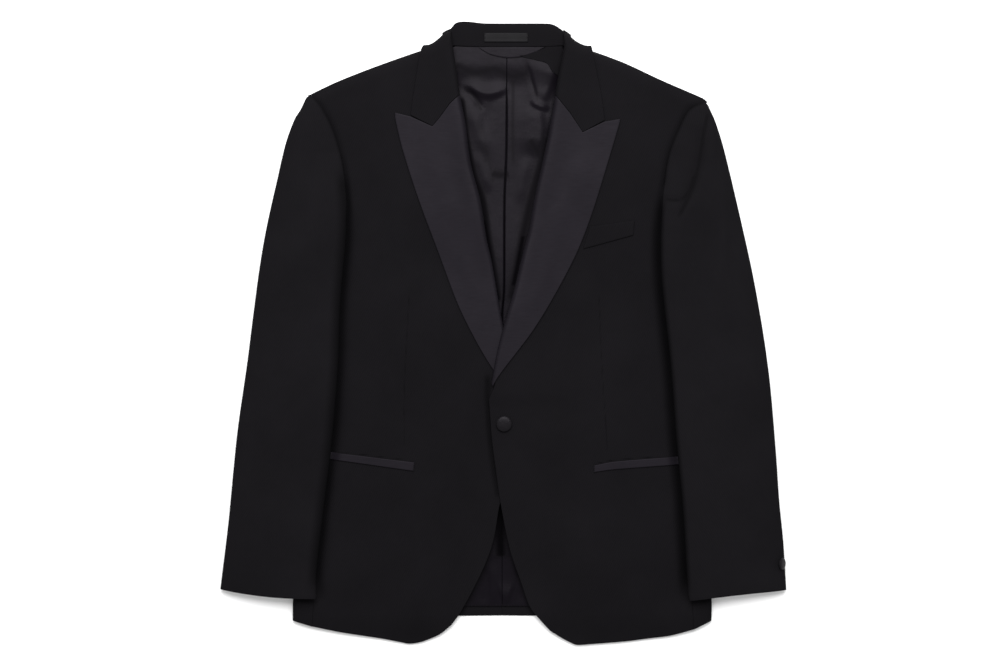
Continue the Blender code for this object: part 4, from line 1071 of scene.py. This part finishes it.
def front_piece(side):
    """One front, from the shoulder and armhole to the roll, front edge and hem."""
    u, v = (steps(count) for count in FRONT_GRID)
    roll = moved(dense(ROLL[side]), side * ROLL_SETBACK)
    neck_y = SHOULDER[side][-1][1]
    roll = roll[(roll[:, 1] < neck_y) & (roll[:, 1] > FRONT_EDGE[side][0][1] + ROLL_END_GAP)]
    inner = np.vstack([[roll[0][0], neck_y], roll, dense(FRONT_EDGE[side])])[::-1]
    bottom = along(dense(FRONT_HEM[side]), u)
    top = along(dense(SHOULDER[side][:-1] + [tuple(inner[-1])]), u)
    outer = side_edge(side, ARMHOLE_TUCK)
    plan = patch(bottom, top, at_heights(outer, v), at_heights(inner, v), u, v)
    x, y = plan[..., 0], plan[..., 1]
    put(f"front_panel_{HANDS[side]}", f"front_{HANDS[side]}", "wool", BACKS,
        lifted(plan, front_height(x, y, side)), thick("cloth"),
        ["worsted_barathea", "viscose_satin_lining"],
        seam=seam_and_shade_marks(x, y, FRONT_SEAMS_AND_SHADE[side] + sleeve_shade(side, BODY_SHADE)))


def back_piece(side):
    """Half of the back, its underside on the surface."""
    u, v = (steps(count) for count in BACK_GRID)
    outer = side_edge(side, 0.0)
    outer[0] = BACK_HEM[side][0]
    centre = dense(CENTRE_BACK)[::-1] - [side * SIDE_CLOSE, 0]
    below = [0, SEAM_GAP + STAND_CLEAR]
    neck = dense(NECK_SEAM) - below
    half = neck[neck[:, 0] * side > side * centre[-1][0]][::-side]
    top = np.vstack([dense(SHOULDER[side])[:-1], half[1:], centre[-1:] - below])
    bottom = along(dense(BACK_HEM[side]), u)
    plan = patch(bottom, along(top, u), at_heights(outer, v), at_heights(centre, v), u, v)
    put(f"back_half_{HANDS[side]}", f"back_{HANDS[side]}", "wool", [],
        lifted(plan, back_floor(plan[..., 0], plan[..., 1])), thick("cloth"), ["worsted_barathea"], up=-1.0)


def side_piece(side):
    """Side panel: from the front's seam over the side fold to the back's seam."""
    v = steps(SIDE_ROWS)
    seam = at_heights(dense(SIDE_SEAM[side]), v)
    fold = at_heights(dense(SIDE_FOLD[side]), v)
    top = front_level(seam[:, 0], seam[:, 1], side)[:, None]
    length = np.linalg.norm(seam - fold, axis=1, keepdims=True)
    inward = (seam - fold) / length
    flat = length + (SIDE_RADIUS - length) * steps(6)[None, :-1]
    turned = np.broadcast_to(SIDE_RADIUS * (1.0 - np.sin(FOLD_TURNS)), (len(v), len(FOLD_TURNS)))
    away = np.hstack([flat, turned, flat[:, ::-1]])
    level = np.hstack([top + 0.0 * flat, top / 2 * (1.0 + np.cos(FOLD_TURNS)[None]), 0.0 * flat])
    grid = lifted(fold[:, None, :] + inward[:, None, :] * away[..., None], level)
    put(f"side_panel_{HANDS[side]}", f"side_{HANDS[side]}", "wool", [f"back_{HANDS[side]}"], grid,
        thick("cloth"), ["worsted_barathea"], up_column=0, grain=tube_grain(grid))


def lining_piece(side):
    """Half of the back lining, seen in the neck opening and below the closure."""
    v = steps(LINING_ROWS)
    reach = abs(LINING_HEM[side][0][0])
    u = 1.0 - np.append(LINING_COLUMNS, reach)[::-1] / reach
    centre = dense(CENTRE_BACK)[::-1]
    centre[:, 0] += side * (SEAM_GAP / 2 + CENTRE_PART * plateau(centre[:, 1], CENTRE_Y))
    centre[0, 1] = LINING_HEM[side][0][1]
    centre[-1, 1] = LINING_TOP[side][-1][1]
    bottom, top = (along(dense(line[side]), u) for line in (LINING_HEM, LINING_TOP))
    outer = at_heights(dense(LINING_SIDE[side])[::-1], v)
    plan = patch(bottom, top, outer, at_heights(centre, v), u, v)
    x, y = plan[..., 0], plan[..., 1]
    put(f"back_lining_{HANDS[side]}", f"lining_{HANDS[side]}", "lining", [f"back_{HANDS[side]}"],
        lifted(plan, lining_height(x, y)), thick("lining"), ["viscose_satin_lining"],
        seam=seam_and_shade_marks(x, y, LINING_SEAM_AND_SHADE))


def lapel_piece(side):
    """Satin peak lapel, turned back at the roll."""
    v = steps(LAPEL_GRID[1])
    edge = at_heights(dense(LAPEL_EDGE[side])[::-1], v)
    top = moved(dense(LAPEL_TOP[side], straight=True), side * SEAM_GAP)
    roll = dense(ROLL[side])
    roll = roll[(roll[:, 1] >= LAPEL_EDGE[side][-1][1]) & (roll[:, 1] <= LAPEL_TOP[side][-1][1] + 1)]
    roll = at_heights(roll[::-1], v)
    edge[-1], roll[-1] = top[0], top[-1]
    u = with_corners(top, steps(LAPEL_GRID[0]))
    bottom = edge[0] + (roll[0] - edge[0]) * u[:, None]
    full, heights = turned_back(patch(bottom, along(top, u), edge, roll, u, v), side)
    heights = heights + np.maximum(creases(full[..., 0], full[..., 1], LAPEL_CREASES), 0.0)
    put(f"peak_lapel_{HANDS[side]}", f"lapel_{HANDS[side]}", "satin", [f"front_{HANDS[side]}"],
        lifted(full, heights), thick("cloth"), ["silk_satin_facing"], up_column=FLAT_COLUMN)


def collar_side_piece(side):
    """Collar fall beside the neck, from the outline over the shoulder to the gorge seam."""
    v = steps(COLLAR_GRID[1])
    outer = at_heights(dense(COLLAR_OUTER[side])[::-1], v)
    gorge = np.array([COLLAR_OUTER[side][-1]] + list(LAPEL_TOP[side][2:]), float)
    gorge = moved(gorge, -side * SEAM_GAP / 2)
    u = with_corners(gorge, steps(COLLAR_GRID[0]))
    roll = dense(ROLL[side])[1:]
    roll = np.vstack([COLLAR_OUTLINE[side][-1], roll[roll[:, 1] > gorge[-1][1]], gorge[-1:]])
    outer[0] = gorge[0]
    outline = dense(COLLAR_OUTLINE[side])
    plan = patch(along(gorge, u), along(outline, u), outer, at_heights(roll[::-1], v), u, v)
    full, heights = turned_back(plan, side)
    over = rounded(distance_to(outline, full[..., 0], full[..., 1]), SHOULDER_RADIUS + LAYER)
    put(f"collar_fall_{HANDS[side]}", f"collar_{HANDS[side]}", "wool", [f"front_{HANDS[side]}"],
        lifted(full, COLLAR_FOOT + (heights - COLLAR_FOOT) * over), thick("cloth"), ["worsted_barathea"],
        up_column=FLAT_COLUMN)


def stand_height(x, y):
    """Upper face of the collar stand behind the neck, raised where the falls cover its ends."""
    level = COLLAR_SEAM_HEIGHT + (COLLAR_HEIGHT - COLLAR_SEAM_HEIGHT) * ramp(y, *COLLAR_STAND_Y)
    covered = ramp(np.abs(x - NECK_CENTRE_X), *STAND_END_X) * (1.0 - ramp(y, *STAND_END_Y))
    return level + STAND_END_LIFT * covered


def collar_back_piece():
    """Collar behind the neck: stand in view, fold at the top, fall beneath the back."""
    end = STAND_END_SHARE
    close, wide = STAND_COLUMNS
    u = np.concatenate([np.linspace(0.0, end, close)[:-1], np.linspace(end, 1.0 - end, wide),
                        np.linspace(1.0 - end, 1.0, close)[1:]])
    fold, seam = along(dense(COLLAR_TOP), u), along(dense(STAND_SEAM), u)
    inward = (seam - fold) / np.linalg.norm(seam - fold, axis=1, keepdims=True)
    radius = np.minimum(COLLAR_FOLD_RADIUS, (fold - seam)[:, 1] * COLLAR_FOLD_SHARE)[:, None]
    start = fold + inward * radius
    stand = seam[:, None] + (start - seam)[:, None] * steps(8)[None, :-1, None]
    turned = fold[:, None] + (inward * radius)[:, None] * (1.0 - np.sin(FOLD_TURNS))[None, :, None]
    fall = np.stack([seam, np.stack([seam[:, 0], np.full(len(u), COLLAR_FALL_Y)], axis=1)], axis=1)
    half = stand_height(start[:, 0], start[:, 1])[:, None] / 2.0
    level = np.hstack([stand_height(stand[..., 0], stand[..., 1]), half + half * np.cos(FOLD_TURNS),
                       np.zeros((len(u), 2))])
    grid = lifted(np.concatenate([stand, turned, fall], axis=1), level)
    put("collar_stand", "collar_back", "wool", BACKS, grid, thick("cloth"), ["worsted_barathea"],
        up_column=0, grain=tube_grain(grid))


def sleeve_rest(x, y, side):
    """Height of the sleeve's underside: on the body inside, on the surface outside."""
    reach = np.abs(x)
    armhole = dense(ARMHOLE[side])[::-1]
    low = armhole[armhole[:, 1] < ARMHOLE_TURN_Y]
    xs = np.concatenate([np.abs(low[::-1, 0]), [abs(SIDE_FOLD[side][0][0])]])
    ys = np.concatenate([low[::-1, 1], [SIDE_FOLD[side][0][1]]])
    order = np.argsort(xs)
    hole_y = np.interp(reach, xs[order], ys[order])
    fold = dense(SIDE_FOLD[side])[::-1]
    side_x = np.interp(y, fold[:, 1], np.abs(fold[:, 0]))
    beside = 1.0 - ramp(reach, side_x + SLEEVE_REST[0], side_x + SLEEVE_REST[1])
    below = 1.0 - ramp(y, hole_y + ARMHOLE_REST[0], hole_y + ARMHOLE_REST[1])
    return (front_base(x, y, side) + SLEEVE_CLEAR) * beside * below


def sleeve_grid(side, places, part, wall=0.0):
    """Points of the sleeve's top or under piece at the given shares of its length.

    A wall moves the points in from the outer face by that thickness.
    """
    section = table(SLEEVE_COLUMNS, SLEEVE_SECTIONS)
    places = np.asarray(places, float)
    column = places[:, None]
    height = np.interp(column, section["along"], section["height"])
    top_turn = np.radians(np.interp(column, section["along"], section["top_turn"]))
    under_turn = np.radians(np.interp(column, section["along"], section["under_turn"]))
    under_turn = np.maximum(under_turn, top_turn + np.radians(SEAM_TURN))
    hind = np.radians(HIND_SEAM_TURN)
    hind_under = hind + np.radians(SEAM_TURN)
    outer = along(dense(SLEEVE_OUTER[side]), places)
    inner = along(dense(SLEEVE_INNER[side]), places)
    width = np.linalg.norm(outer - inner, axis=1)[:, None]
    across = (outer - inner) / width
    reach_in = np.minimum(SLEEVE_FOLD_INNER, width * SLEEVE_FOLD_SHARE)
    reach_out = np.minimum(SLEEVE_FOLD_OUTER, width * SLEEVE_FOLD_SHARE)
    shift = reach_in * (1.0 - np.sin(np.minimum(top_turn, np.pi / 2)))
    inner = inner - across * shift
    width = width + shift
    share = steps(SLEEVE_FLAT) * np.ones_like(column)
    if part == "top":
        turn_in = top_turn * steps(SLEEVE_FOLD_STEPS[0])[:0:-1]
        turn_out = hind * steps(SLEEVE_FOLD_STEPS[1])[1:] * np.ones_like(column)
        face = 1.0
    else:
        closing = steps(SLEEVE_FOLD_STEPS[2])[:-1]
        turn_in = under_turn + (np.pi - under_turn) * closing[::-1]
        turn_out = (hind_under + (np.pi - hind_under) * closing) * np.ones_like(column)
        share = share[:, ::-1]
        face = -1.0
    away_in = wall + (reach_in - wall) * (1.0 - np.sin(turn_in))
    away_out = width - wall - (reach_out - wall) * (1.0 - np.sin(turn_out))
    away_flat = reach_in + (width - reach_in - reach_out) * share
    order = slice(None) if part == "top" else slice(None, None, -1)
    away = np.hstack([away_in, away_flat, away_out][order])
    climb = np.hstack([np.cos(turn_in), np.full(share.shape, face), np.cos(turn_out)][order])
    spots = inner[:, None] + across[:, None] * away[..., None]
    share_all = away / width
    top_in = sleeve_rest(inner[:, :1], inner[:, 1:], side) + height
    top_out = sleeve_rest(outer[:, :1], outer[:, 1:], side) + height
    crown = SLEEVE_CROWN * np.sin(np.pi * share_all)
    top = top_in + (top_out - top_in) * share_all + crown
    low = sleeve_rest(spots[..., 0], spots[..., 1], side)
    relief = creases(spots[..., 0], spots[..., 1], SLEEVE_CREASES[side]) * ramp(climb, 0.0, 1.0)
    dip = CUFF_DIP[side] * np.sin(np.pi * share_all) * ramp(column, *CUFF_DIP_SPAN)
    heights = (top + low) / 2.0 + ((top - low) / 2.0 - wall) * climb + relief
    return np.stack([spots[..., 0], spots[..., 1] - dip, heights], axis=2)


def sleeve_pieces(side):
    """The two pieces of a sleeve: the top piece wraps both folds, the under piece closes it."""
    places = np.concatenate([np.linspace(0.0, SLEEVE_HEAD_SHARE, SLEEVE_ROWS[0])[:-1],
                             np.linspace(SLEEVE_HEAD_SHARE, 1.0, SLEEVE_ROWS[1])])
    rows = sleeve_shade(side, SLEEVE_SHADE) + SLEEVE_CREASE_SHADE[side]
    for part, up in (("top", 1.0), ("under", -1.0)):
        grid = sleeve_grid(side, places, part)
        put(f"{part}_sleeve_{HANDS[side]}", f"sleeve_{part}_{HANDS[side]}", "wool",
            [f"front_{HANDS[side]}"], grid, thick("sleeve"), ["sleeve_barathea", "viscose_satin_lining"],
            up=up, inner=sleeve_grid(side, places, part, thick("sleeve")), grain=tube_grain(grid),
            seam=seam_and_shade_marks(grid[..., 0], grid[..., 1], rows))


def strip_piece(name, node, upper, lower, side, finish, slot, start=0.0):
    """Trim laid on a front between two lines, moved out from the front's own face."""
    u = np.linspace(start, 1.0, 60)
    plan = between(along(dense(lower), u), along(dense(upper), u), STRIP_ROWS)
    heights = front_height(plan[..., 0], plan[..., 1], side) + LAY_GAP + thick("trim")
    put(name, node, slot, [f"front_{HANDS[side]}"], lifted(plan, heights), thick("trim"), [finish])


def facing_piece(name, node, slot, rests_on, plan, finish):
    """A facing that lies on the lining."""
    heights = lining_height(plan[..., 0], plan[..., 1]) + LAY_GAP + thick("lining")
    put(name, node, slot, rests_on, lifted(plan, heights), thick("lining"), [finish])


def label_piece():
    """Blank woven label on the collar stand."""
    x, y = np.meshgrid(np.linspace(*LABEL_X, LABEL_GRID[0]), np.linspace(*LABEL_Y, LABEL_GRID[1]))
    heights = stand_height(x, y) + LAY_GAP + thick("lining")
    put("woven_label", "label", "label", ["collar_back"], np.stack([x, y, heights], axis=2),
        thick("lining"), ["blank_woven_label"])


def button_piece(name, node, centre, axis, radius, height):
    """Covered button: a flat back, a full rim gathered in small pleats, and a low dome."""
    across = np.cross([0.0, 1.0, 0.0], axis)
    across /= np.linalg.norm(across)
    other = np.cross(axis, across)
    angle = np.linspace(0.0, 2 * np.pi, SEGMENTS, endpoint=False)
    turn = np.linspace(0.0, np.pi * DOME_END, RINGS)
    reach = np.sin(turn) ** RIM_POWER
    reach = np.where(turn < np.pi / 2, np.maximum(reach, RIM_LEAST), reach)[:, None]
    level = ((0.5 - 0.5 * np.cos(turn)) ** DOME_POWER)[:, None, None]
    pleats = 1.0 + PLEAT_DEPTH * np.sin(angle * PLEATS) * np.sin(np.pi * steps(RINGS))[:, None] ** 2
    spoke = across * np.cos(angle)[:, None] + other * np.sin(angle)[:, None]
    points = centre + axis * height * level + spoke * (radius * reach * pleats)[..., None]
    points = np.vstack([points.reshape(-1, 3), [centre], [centre + axis * height]])
    here = np.arange(RINGS * SEGMENTS).reshape(RINGS, SEGMENTS)
    ahead = np.roll(here, -1, axis=1)
    faces = np.stack([here[:-1], ahead[:-1], ahead[1:], here[1:]], axis=-1).reshape(-1, 4).tolist()
    faces += [(after, spot, len(points) - 2) for spot, after in zip(here[0].tolist(), ahead[0].tolist())]
    faces += [(spot, after, len(points) - 1) for spot, after in zip(here[-1].tolist(), ahead[-1].tolist())]
    grain = np.stack([points @ across, points @ other], axis=1)
    piece = mesh_piece(name, points, faces, [finish_named("satin_covered_button")], grain)
    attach(piece, "root")
    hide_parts(node)


def stitch_tree():
    """Geometry nodes for a run of hand stitches along a line."""
    tree = bpy.data.node_groups.new("hand_stitches", "GeometryNodeTree")
    face = tree.interface
    face.new_socket(name="Geometry", in_out="INPUT", socket_type="NodeSocketGeometry")
    for name, default in (("Spacing", 0.004), ("Stitch", 0.0024), ("Thread", 0.0004)):
        socket = face.new_socket(name=name, in_out="INPUT", socket_type="NodeSocketFloat")
        socket.default_value = default
    face.new_socket(name="Finish", in_out="INPUT", socket_type="NodeSocketMaterial")
    face.new_socket(name="Geometry", in_out="OUTPUT", socket_type="NodeSocketGeometry")
    start = add(tree, "NodeGroupInput").outputs
    line = add(tree, "GeometryNodeMeshToCurve", {"Mesh": start["Geometry"]})
    spaced = add(tree, "GeometryNodeResampleCurve", {"Curve": line, "Length": start["Spacing"]},
                 mode="LENGTH")
    half = add(tree, "ShaderNodeMath", {0: start["Stitch"]}, {1: 0.5}, operation="MULTIPLY")
    scale = add(tree, "ShaderNodeCombineXYZ", {"X": start["Thread"], "Y": start["Thread"], "Z": half})
    bead = add(tree, "GeometryNodeMeshUVSphere", values={"Segments": 6, "Rings": 5, "Radius": 1.0})
    heading = add(tree, "GeometryNodeInputTangent")
    turn = add(tree, "FunctionNodeAlignRotationToVector", {"Vector": heading}, axis="Z")
    placed = add(tree, "GeometryNodeInstanceOnPoints",
                 {"Points": spaced, "Instance": bead, "Rotation": turn, "Scale": scale})
    real = add(tree, "GeometryNodeRealizeInstances", {0: placed})
    dressed = add(tree, "GeometryNodeSetMaterial", {"Geometry": real, "Material": start["Finish"]})
    add(tree, "NodeGroupOutput", {0: dressed})
    return tree


def stitch_run(name, lines, spacing):
    """Stitches along lines of points in millimetres, turned into a plain mesh."""
    tree = bpy.data.node_groups.get("hand_stitches") or stitch_tree()
    points, edges = [], []
    for line in lines:
        first = len(points)
        points += [tuple(p) for p in np.asarray(line) * MM]
        edges += [(first + k, first + k + 1) for k in range(len(line) - 1)]
    mesh = bpy.data.meshes.new(name + "_line")
    mesh.from_pydata(points, edges, [])
    guide = bpy.data.objects.new(name + "_guide", mesh)
    bpy.context.scene.collection.objects.link(guide)
    run = guide.modifiers.new("stitches", "NODES")
    run.node_group = tree
    named = {item.name: item.identifier for item in tree.interface.items_tree
             if item.item_type == "SOCKET" and item.in_out == "INPUT"}
    for socket, value in (("Spacing", spacing), ("Stitch", sizes().stitch), ("Thread", sizes().thread),
                          ("Finish", finish_named("silk_thread"))):
        run[named[socket]] = value
    made = bpy.data.meshes.new_from_object(guide.evaluated_get(bpy.context.evaluated_depsgraph_get()))
    guide.modifiers.remove(run)
    bpy.data.objects.remove(guide, do_unlink=True)
    made.name = name
    made.polygons.foreach_set("use_smooth", [True] * len(made.polygons))
    piece = bpy.data.objects.new(name, made)
    bpy.context.scene.collection.objects.link(piece)
    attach(piece, "root")


class JACKET_OT_back(bpy.types.Operator):
    """Back halves and side panels"""

    bl_idname = "jacket.back"
    bl_label = "Back and sides"

    def execute(self, context):
        for make in (back_piece, side_piece):
            for side in HANDS:
                make(side)
        return {"FINISHED"}


class JACKET_OT_lining(bpy.types.Operator):
    """Back lining with its folds, the back neck facing and the end of the left front facing"""

    bl_idname = "jacket.lining"
    bl_label = "Lining"

    def execute(self, context):
        for side in HANDS:
            lining_piece(side)
        low = along(dense(FACING_LOWER), steps(60))
        high = np.stack([low[:, 0], np.full(len(low), FACING_TOP_Y)], axis=1)
        facing_piece("neck_facing", "back_neck_facing", "lining", ["lining_right", "lining_left"],
                     between(low, high, 8), "viscose_satin_lining")
        low, high = (along(dense(line), steps(40)) for line in (FACING_END_LOWER, FACING_END_UPPER))
        facing_piece("front_facing_end", None, "wool", ["lining_left"], between(low, high, 14),
                     "worsted_barathea")
        return {"FINISHED"}


class JACKET_OT_fronts(bpy.types.Operator):
    """Both fronts"""

    bl_idname = "jacket.fronts"
    bl_label = "Fronts"

    def execute(self, context):
        for side in HANDS:
            front_piece(side)
        return {"FINISHED"}


class JACKET_OT_lapels(bpy.types.Operator):
    """Satin peak lapels"""

    bl_idname = "jacket.lapels"
    bl_label = "Lapels"

    def execute(self, context):
        for side in HANDS:
            lapel_piece(side)
        return {"FINISHED"}


class JACKET_OT_collar(bpy.types.Operator):
    """Collar and its blank label"""

    bl_idname = "jacket.collar"
    bl_label = "Collar and label"

    def execute(self, context):
        for side in HANDS:
            collar_side_piece(side)
        collar_back_piece()
        label_piece()
        return {"FINISHED"}


class JACKET_OT_sleeves(bpy.types.Operator):
    """Two-piece sleeves"""

    bl_idname = "jacket.sleeves"
    bl_label = "Sleeves"

    def execute(self, context):
        for side in HANDS:
            sleeve_pieces(side)
        return {"FINISHED"}


class JACKET_OT_pockets(bpy.types.Operator):
    """Satin hip jets and the breast welt"""

    bl_idname = "jacket.pockets"
    bl_label = "Pockets"

    def execute(self, context):
        for side, hand in HANDS.items():
            strip_piece(f"satin_jet_{hand}", f"hip_jet_{hand}", JET_UPPER[side], JET_LOWER[side], side,
                        "silk_satin_facing", "satin", JET_START[side])
        strip_piece("chest_welt", "breast_welt", WELT_UPPER, WELT_LOWER, 1, "worsted_barathea", "wool")
        return {"FINISHED"}


class JACKET_OT_buttons(bpy.types.Operator):
    """Covered buttons"""

    bl_idname = "jacket.buttons"
    bl_label = "Buttons"

    def execute(self, context):
        height = front_height(np.array([[FRONT_BUTTON_X]]), np.array([[FRONT_BUTTON_Y]]), 1)[0, 0]
        spot = np.array([FRONT_BUTTON_X, FRONT_BUTTON_Y, height + LAY_GAP])
        button_piece("covered_front_button", "front_button", spot, np.array([0.0, 0.0, 1.0]),
                     FRONT_BUTTON_RADIUS, FRONT_BUTTON_HEIGHT)
        low, high = (np.array(corner) * PER_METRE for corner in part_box("cuff_button"))
        tilt = np.radians(CUFF_BUTTON_TURN)
        axis = np.array([np.sin(tilt), 0.0, np.cos(tilt)])
        spot = (low + high) / 2.0 - axis * CUFF_BUTTON_HEIGHT / 2
        button_piece("covered_cuff_button", "cuff_button", spot, axis, CUFF_BUTTON_RADIUS,
                     CUFF_BUTTON_HEIGHT)
        return {"FINISHED"}


class JACKET_OT_stitching(bpy.types.Operator):
    """Hand stitching of the label, the lining hem and the pocket ends"""

    bl_idname = "jacket.stitching"
    bl_label = "Stitching"

    def execute(self, context):
        label_lines, hem_lines, tack_lines = [], [], []
        y = np.linspace(LABEL_Y[0] + LABEL_INSET[1], LABEL_Y[1] - LABEL_INSET[1], 12)
        for edge in (LABEL_X[0] + LABEL_INSET[0], LABEL_X[1] - LABEL_INSET[0]):
            x = np.full_like(y, edge)
            z = stand_height(x, y) + LAY_GAP + LINING_CLOTH + STITCH_LIFT
            label_lines.append(np.stack([x, y, z], axis=1))
        for side in HANDS:
            path = along(dense(LINING_HEM[side]), steps(120)) + [0.0, HEM_INSET]
            z = lining_height(path[:, 0], path[:, 1]) + STITCH_LIFT
            hem_lines.append(np.column_stack([path, z]))
            for place in (JET_START[side] + JET_INSET, 1.0 - JET_INSET):
                high, low = (along(dense(jet[side]), [place])[0] for jet in (JET_UPPER, JET_LOWER))
                path = low + (high - low) * np.linspace(*TACK_SPAN, 10)[:, None]
                z = front_height(path[:, 0], path[:, 1], side) + LAY_GAP + TRIM_CLOTH + TACK_LIFT
                tack_lines.append(np.column_stack([path, z]))
        spacing = sizes().stitch * STITCH_PITCH
        stitch_run("label_stitches", label_lines, spacing)
        stitch_run("lining_hem_stitches", hem_lines, spacing)
        stitch_run("pocket_tacks", tack_lines, sizes().stitch * TACK_PITCH)
        return {"FINISHED"}


class JACKET_OT_stage(bpy.types.Operator):
    """Pale floor, soft light and the camera straight above"""

    bl_idname = "jacket.stage"
    bl_label = "Stage"

    def execute(self, context):
        scene = bpy.context.scene
        reach = thick("floor") / 2.0
        corners = [(x * reach, y * reach, FLOOR_Z) for x, y in ((-1, -1), (1, -1), (1, 1), (-1, 1))]
        mesh_piece("paper_floor", corners, [(0, 1, 2, 3)], [finish_named("paper_floor")])

        world = bpy.data.worlds.new("soft_room")
        scene.world = world
        world.use_nodes = True
        background = world.node_tree.nodes["Background"]
        background.inputs["Color"].default_value = (1.0, 1.0, 1.0, 1.0)
        background.inputs["Strength"].default_value = WORLD_STRENGTH
        lamp = bpy.data.lights.new("soft_box", "AREA")
        lamp.energy = SOFT_BOX_POWER
        lamp.size = SOFT_BOX_SIZE
        holder = bpy.data.objects.new("soft_box", lamp)
        holder.location = SOFT_BOX_PLACE
        holder.rotation_euler = (-Vector(SOFT_BOX_PLACE)).to_track_quat("-Z", "Y").to_euler()
        scene.collection.objects.link(holder)

        lens = bpy.data.cameras.new("copy_stand_camera")
        lens.lens = LENS
        lens.sensor_width = SENSOR
        camera = bpy.data.objects.new("copy_stand_camera", lens)
        camera.location = [value * MM for value in CAMERA]
        scene.collection.objects.link(camera)
        scene.camera = camera
        scene.view_settings.view_transform = "Standard"
        return {"FINISHED"}


class JACKET_PT_panel(bpy.types.Panel):
    """Sizes, colours and pieces of the jacket"""

    bl_idname = "JACKET_PT_panel"
    bl_label = "Dinner jacket"
    bl_space_type = "VIEW_3D"
    bl_region_type = "UI"
    bl_category = "Jacket"

    def draw(self, context):
        for group in (context.scene.jacket_sizes, context.scene.jacket_colours):
            box = self.layout.box()
            for name in group.__annotations__:
                box.prop(group, name)
        for piece in PIECES:
            self.layout.operator(piece.bl_idname)


PIECES = (JACKET_OT_back, JACKET_OT_lining, JACKET_OT_fronts, JACKET_OT_lapels, JACKET_OT_collar,
          JACKET_OT_sleeves, JACKET_OT_pockets, JACKET_OT_buttons, JACKET_OT_stitching,
          JACKET_OT_stage)
CLASSES = (JacketSizes, JacketColours, *PIECES, JACKET_PT_panel)


def register():
    """Make the panel, its values and its operators known to Blender."""
    for item in CLASSES:
        bpy.utils.register_class(item)
    bpy.types.Scene.jacket_sizes = PointerProperty(type=JacketSizes)
    bpy.types.Scene.jacket_colours = PointerProperty(type=JacketColours)


def unregister():
    """Take them away again."""
    del bpy.types.Scene.jacket_colours
    del bpy.types.Scene.jacket_sizes
    for item in reversed(CLASSES):
        bpy.utils.unregister_class(item)


def main():
    """Build every piece in order."""
    register()
    bpy.ops.jacket.back()
    bpy.ops.jacket.lining()
    bpy.ops.jacket.fronts()
    bpy.ops.jacket.lapels()
    bpy.ops.jacket.collar()
    bpy.ops.jacket.sleeves()
    bpy.ops.jacket.pockets()
    bpy.ops.jacket.buttons()
    bpy.ops.jacket.stitching()
    bpy.ops.jacket.stage()


if __name__ == "__main__":
    main()
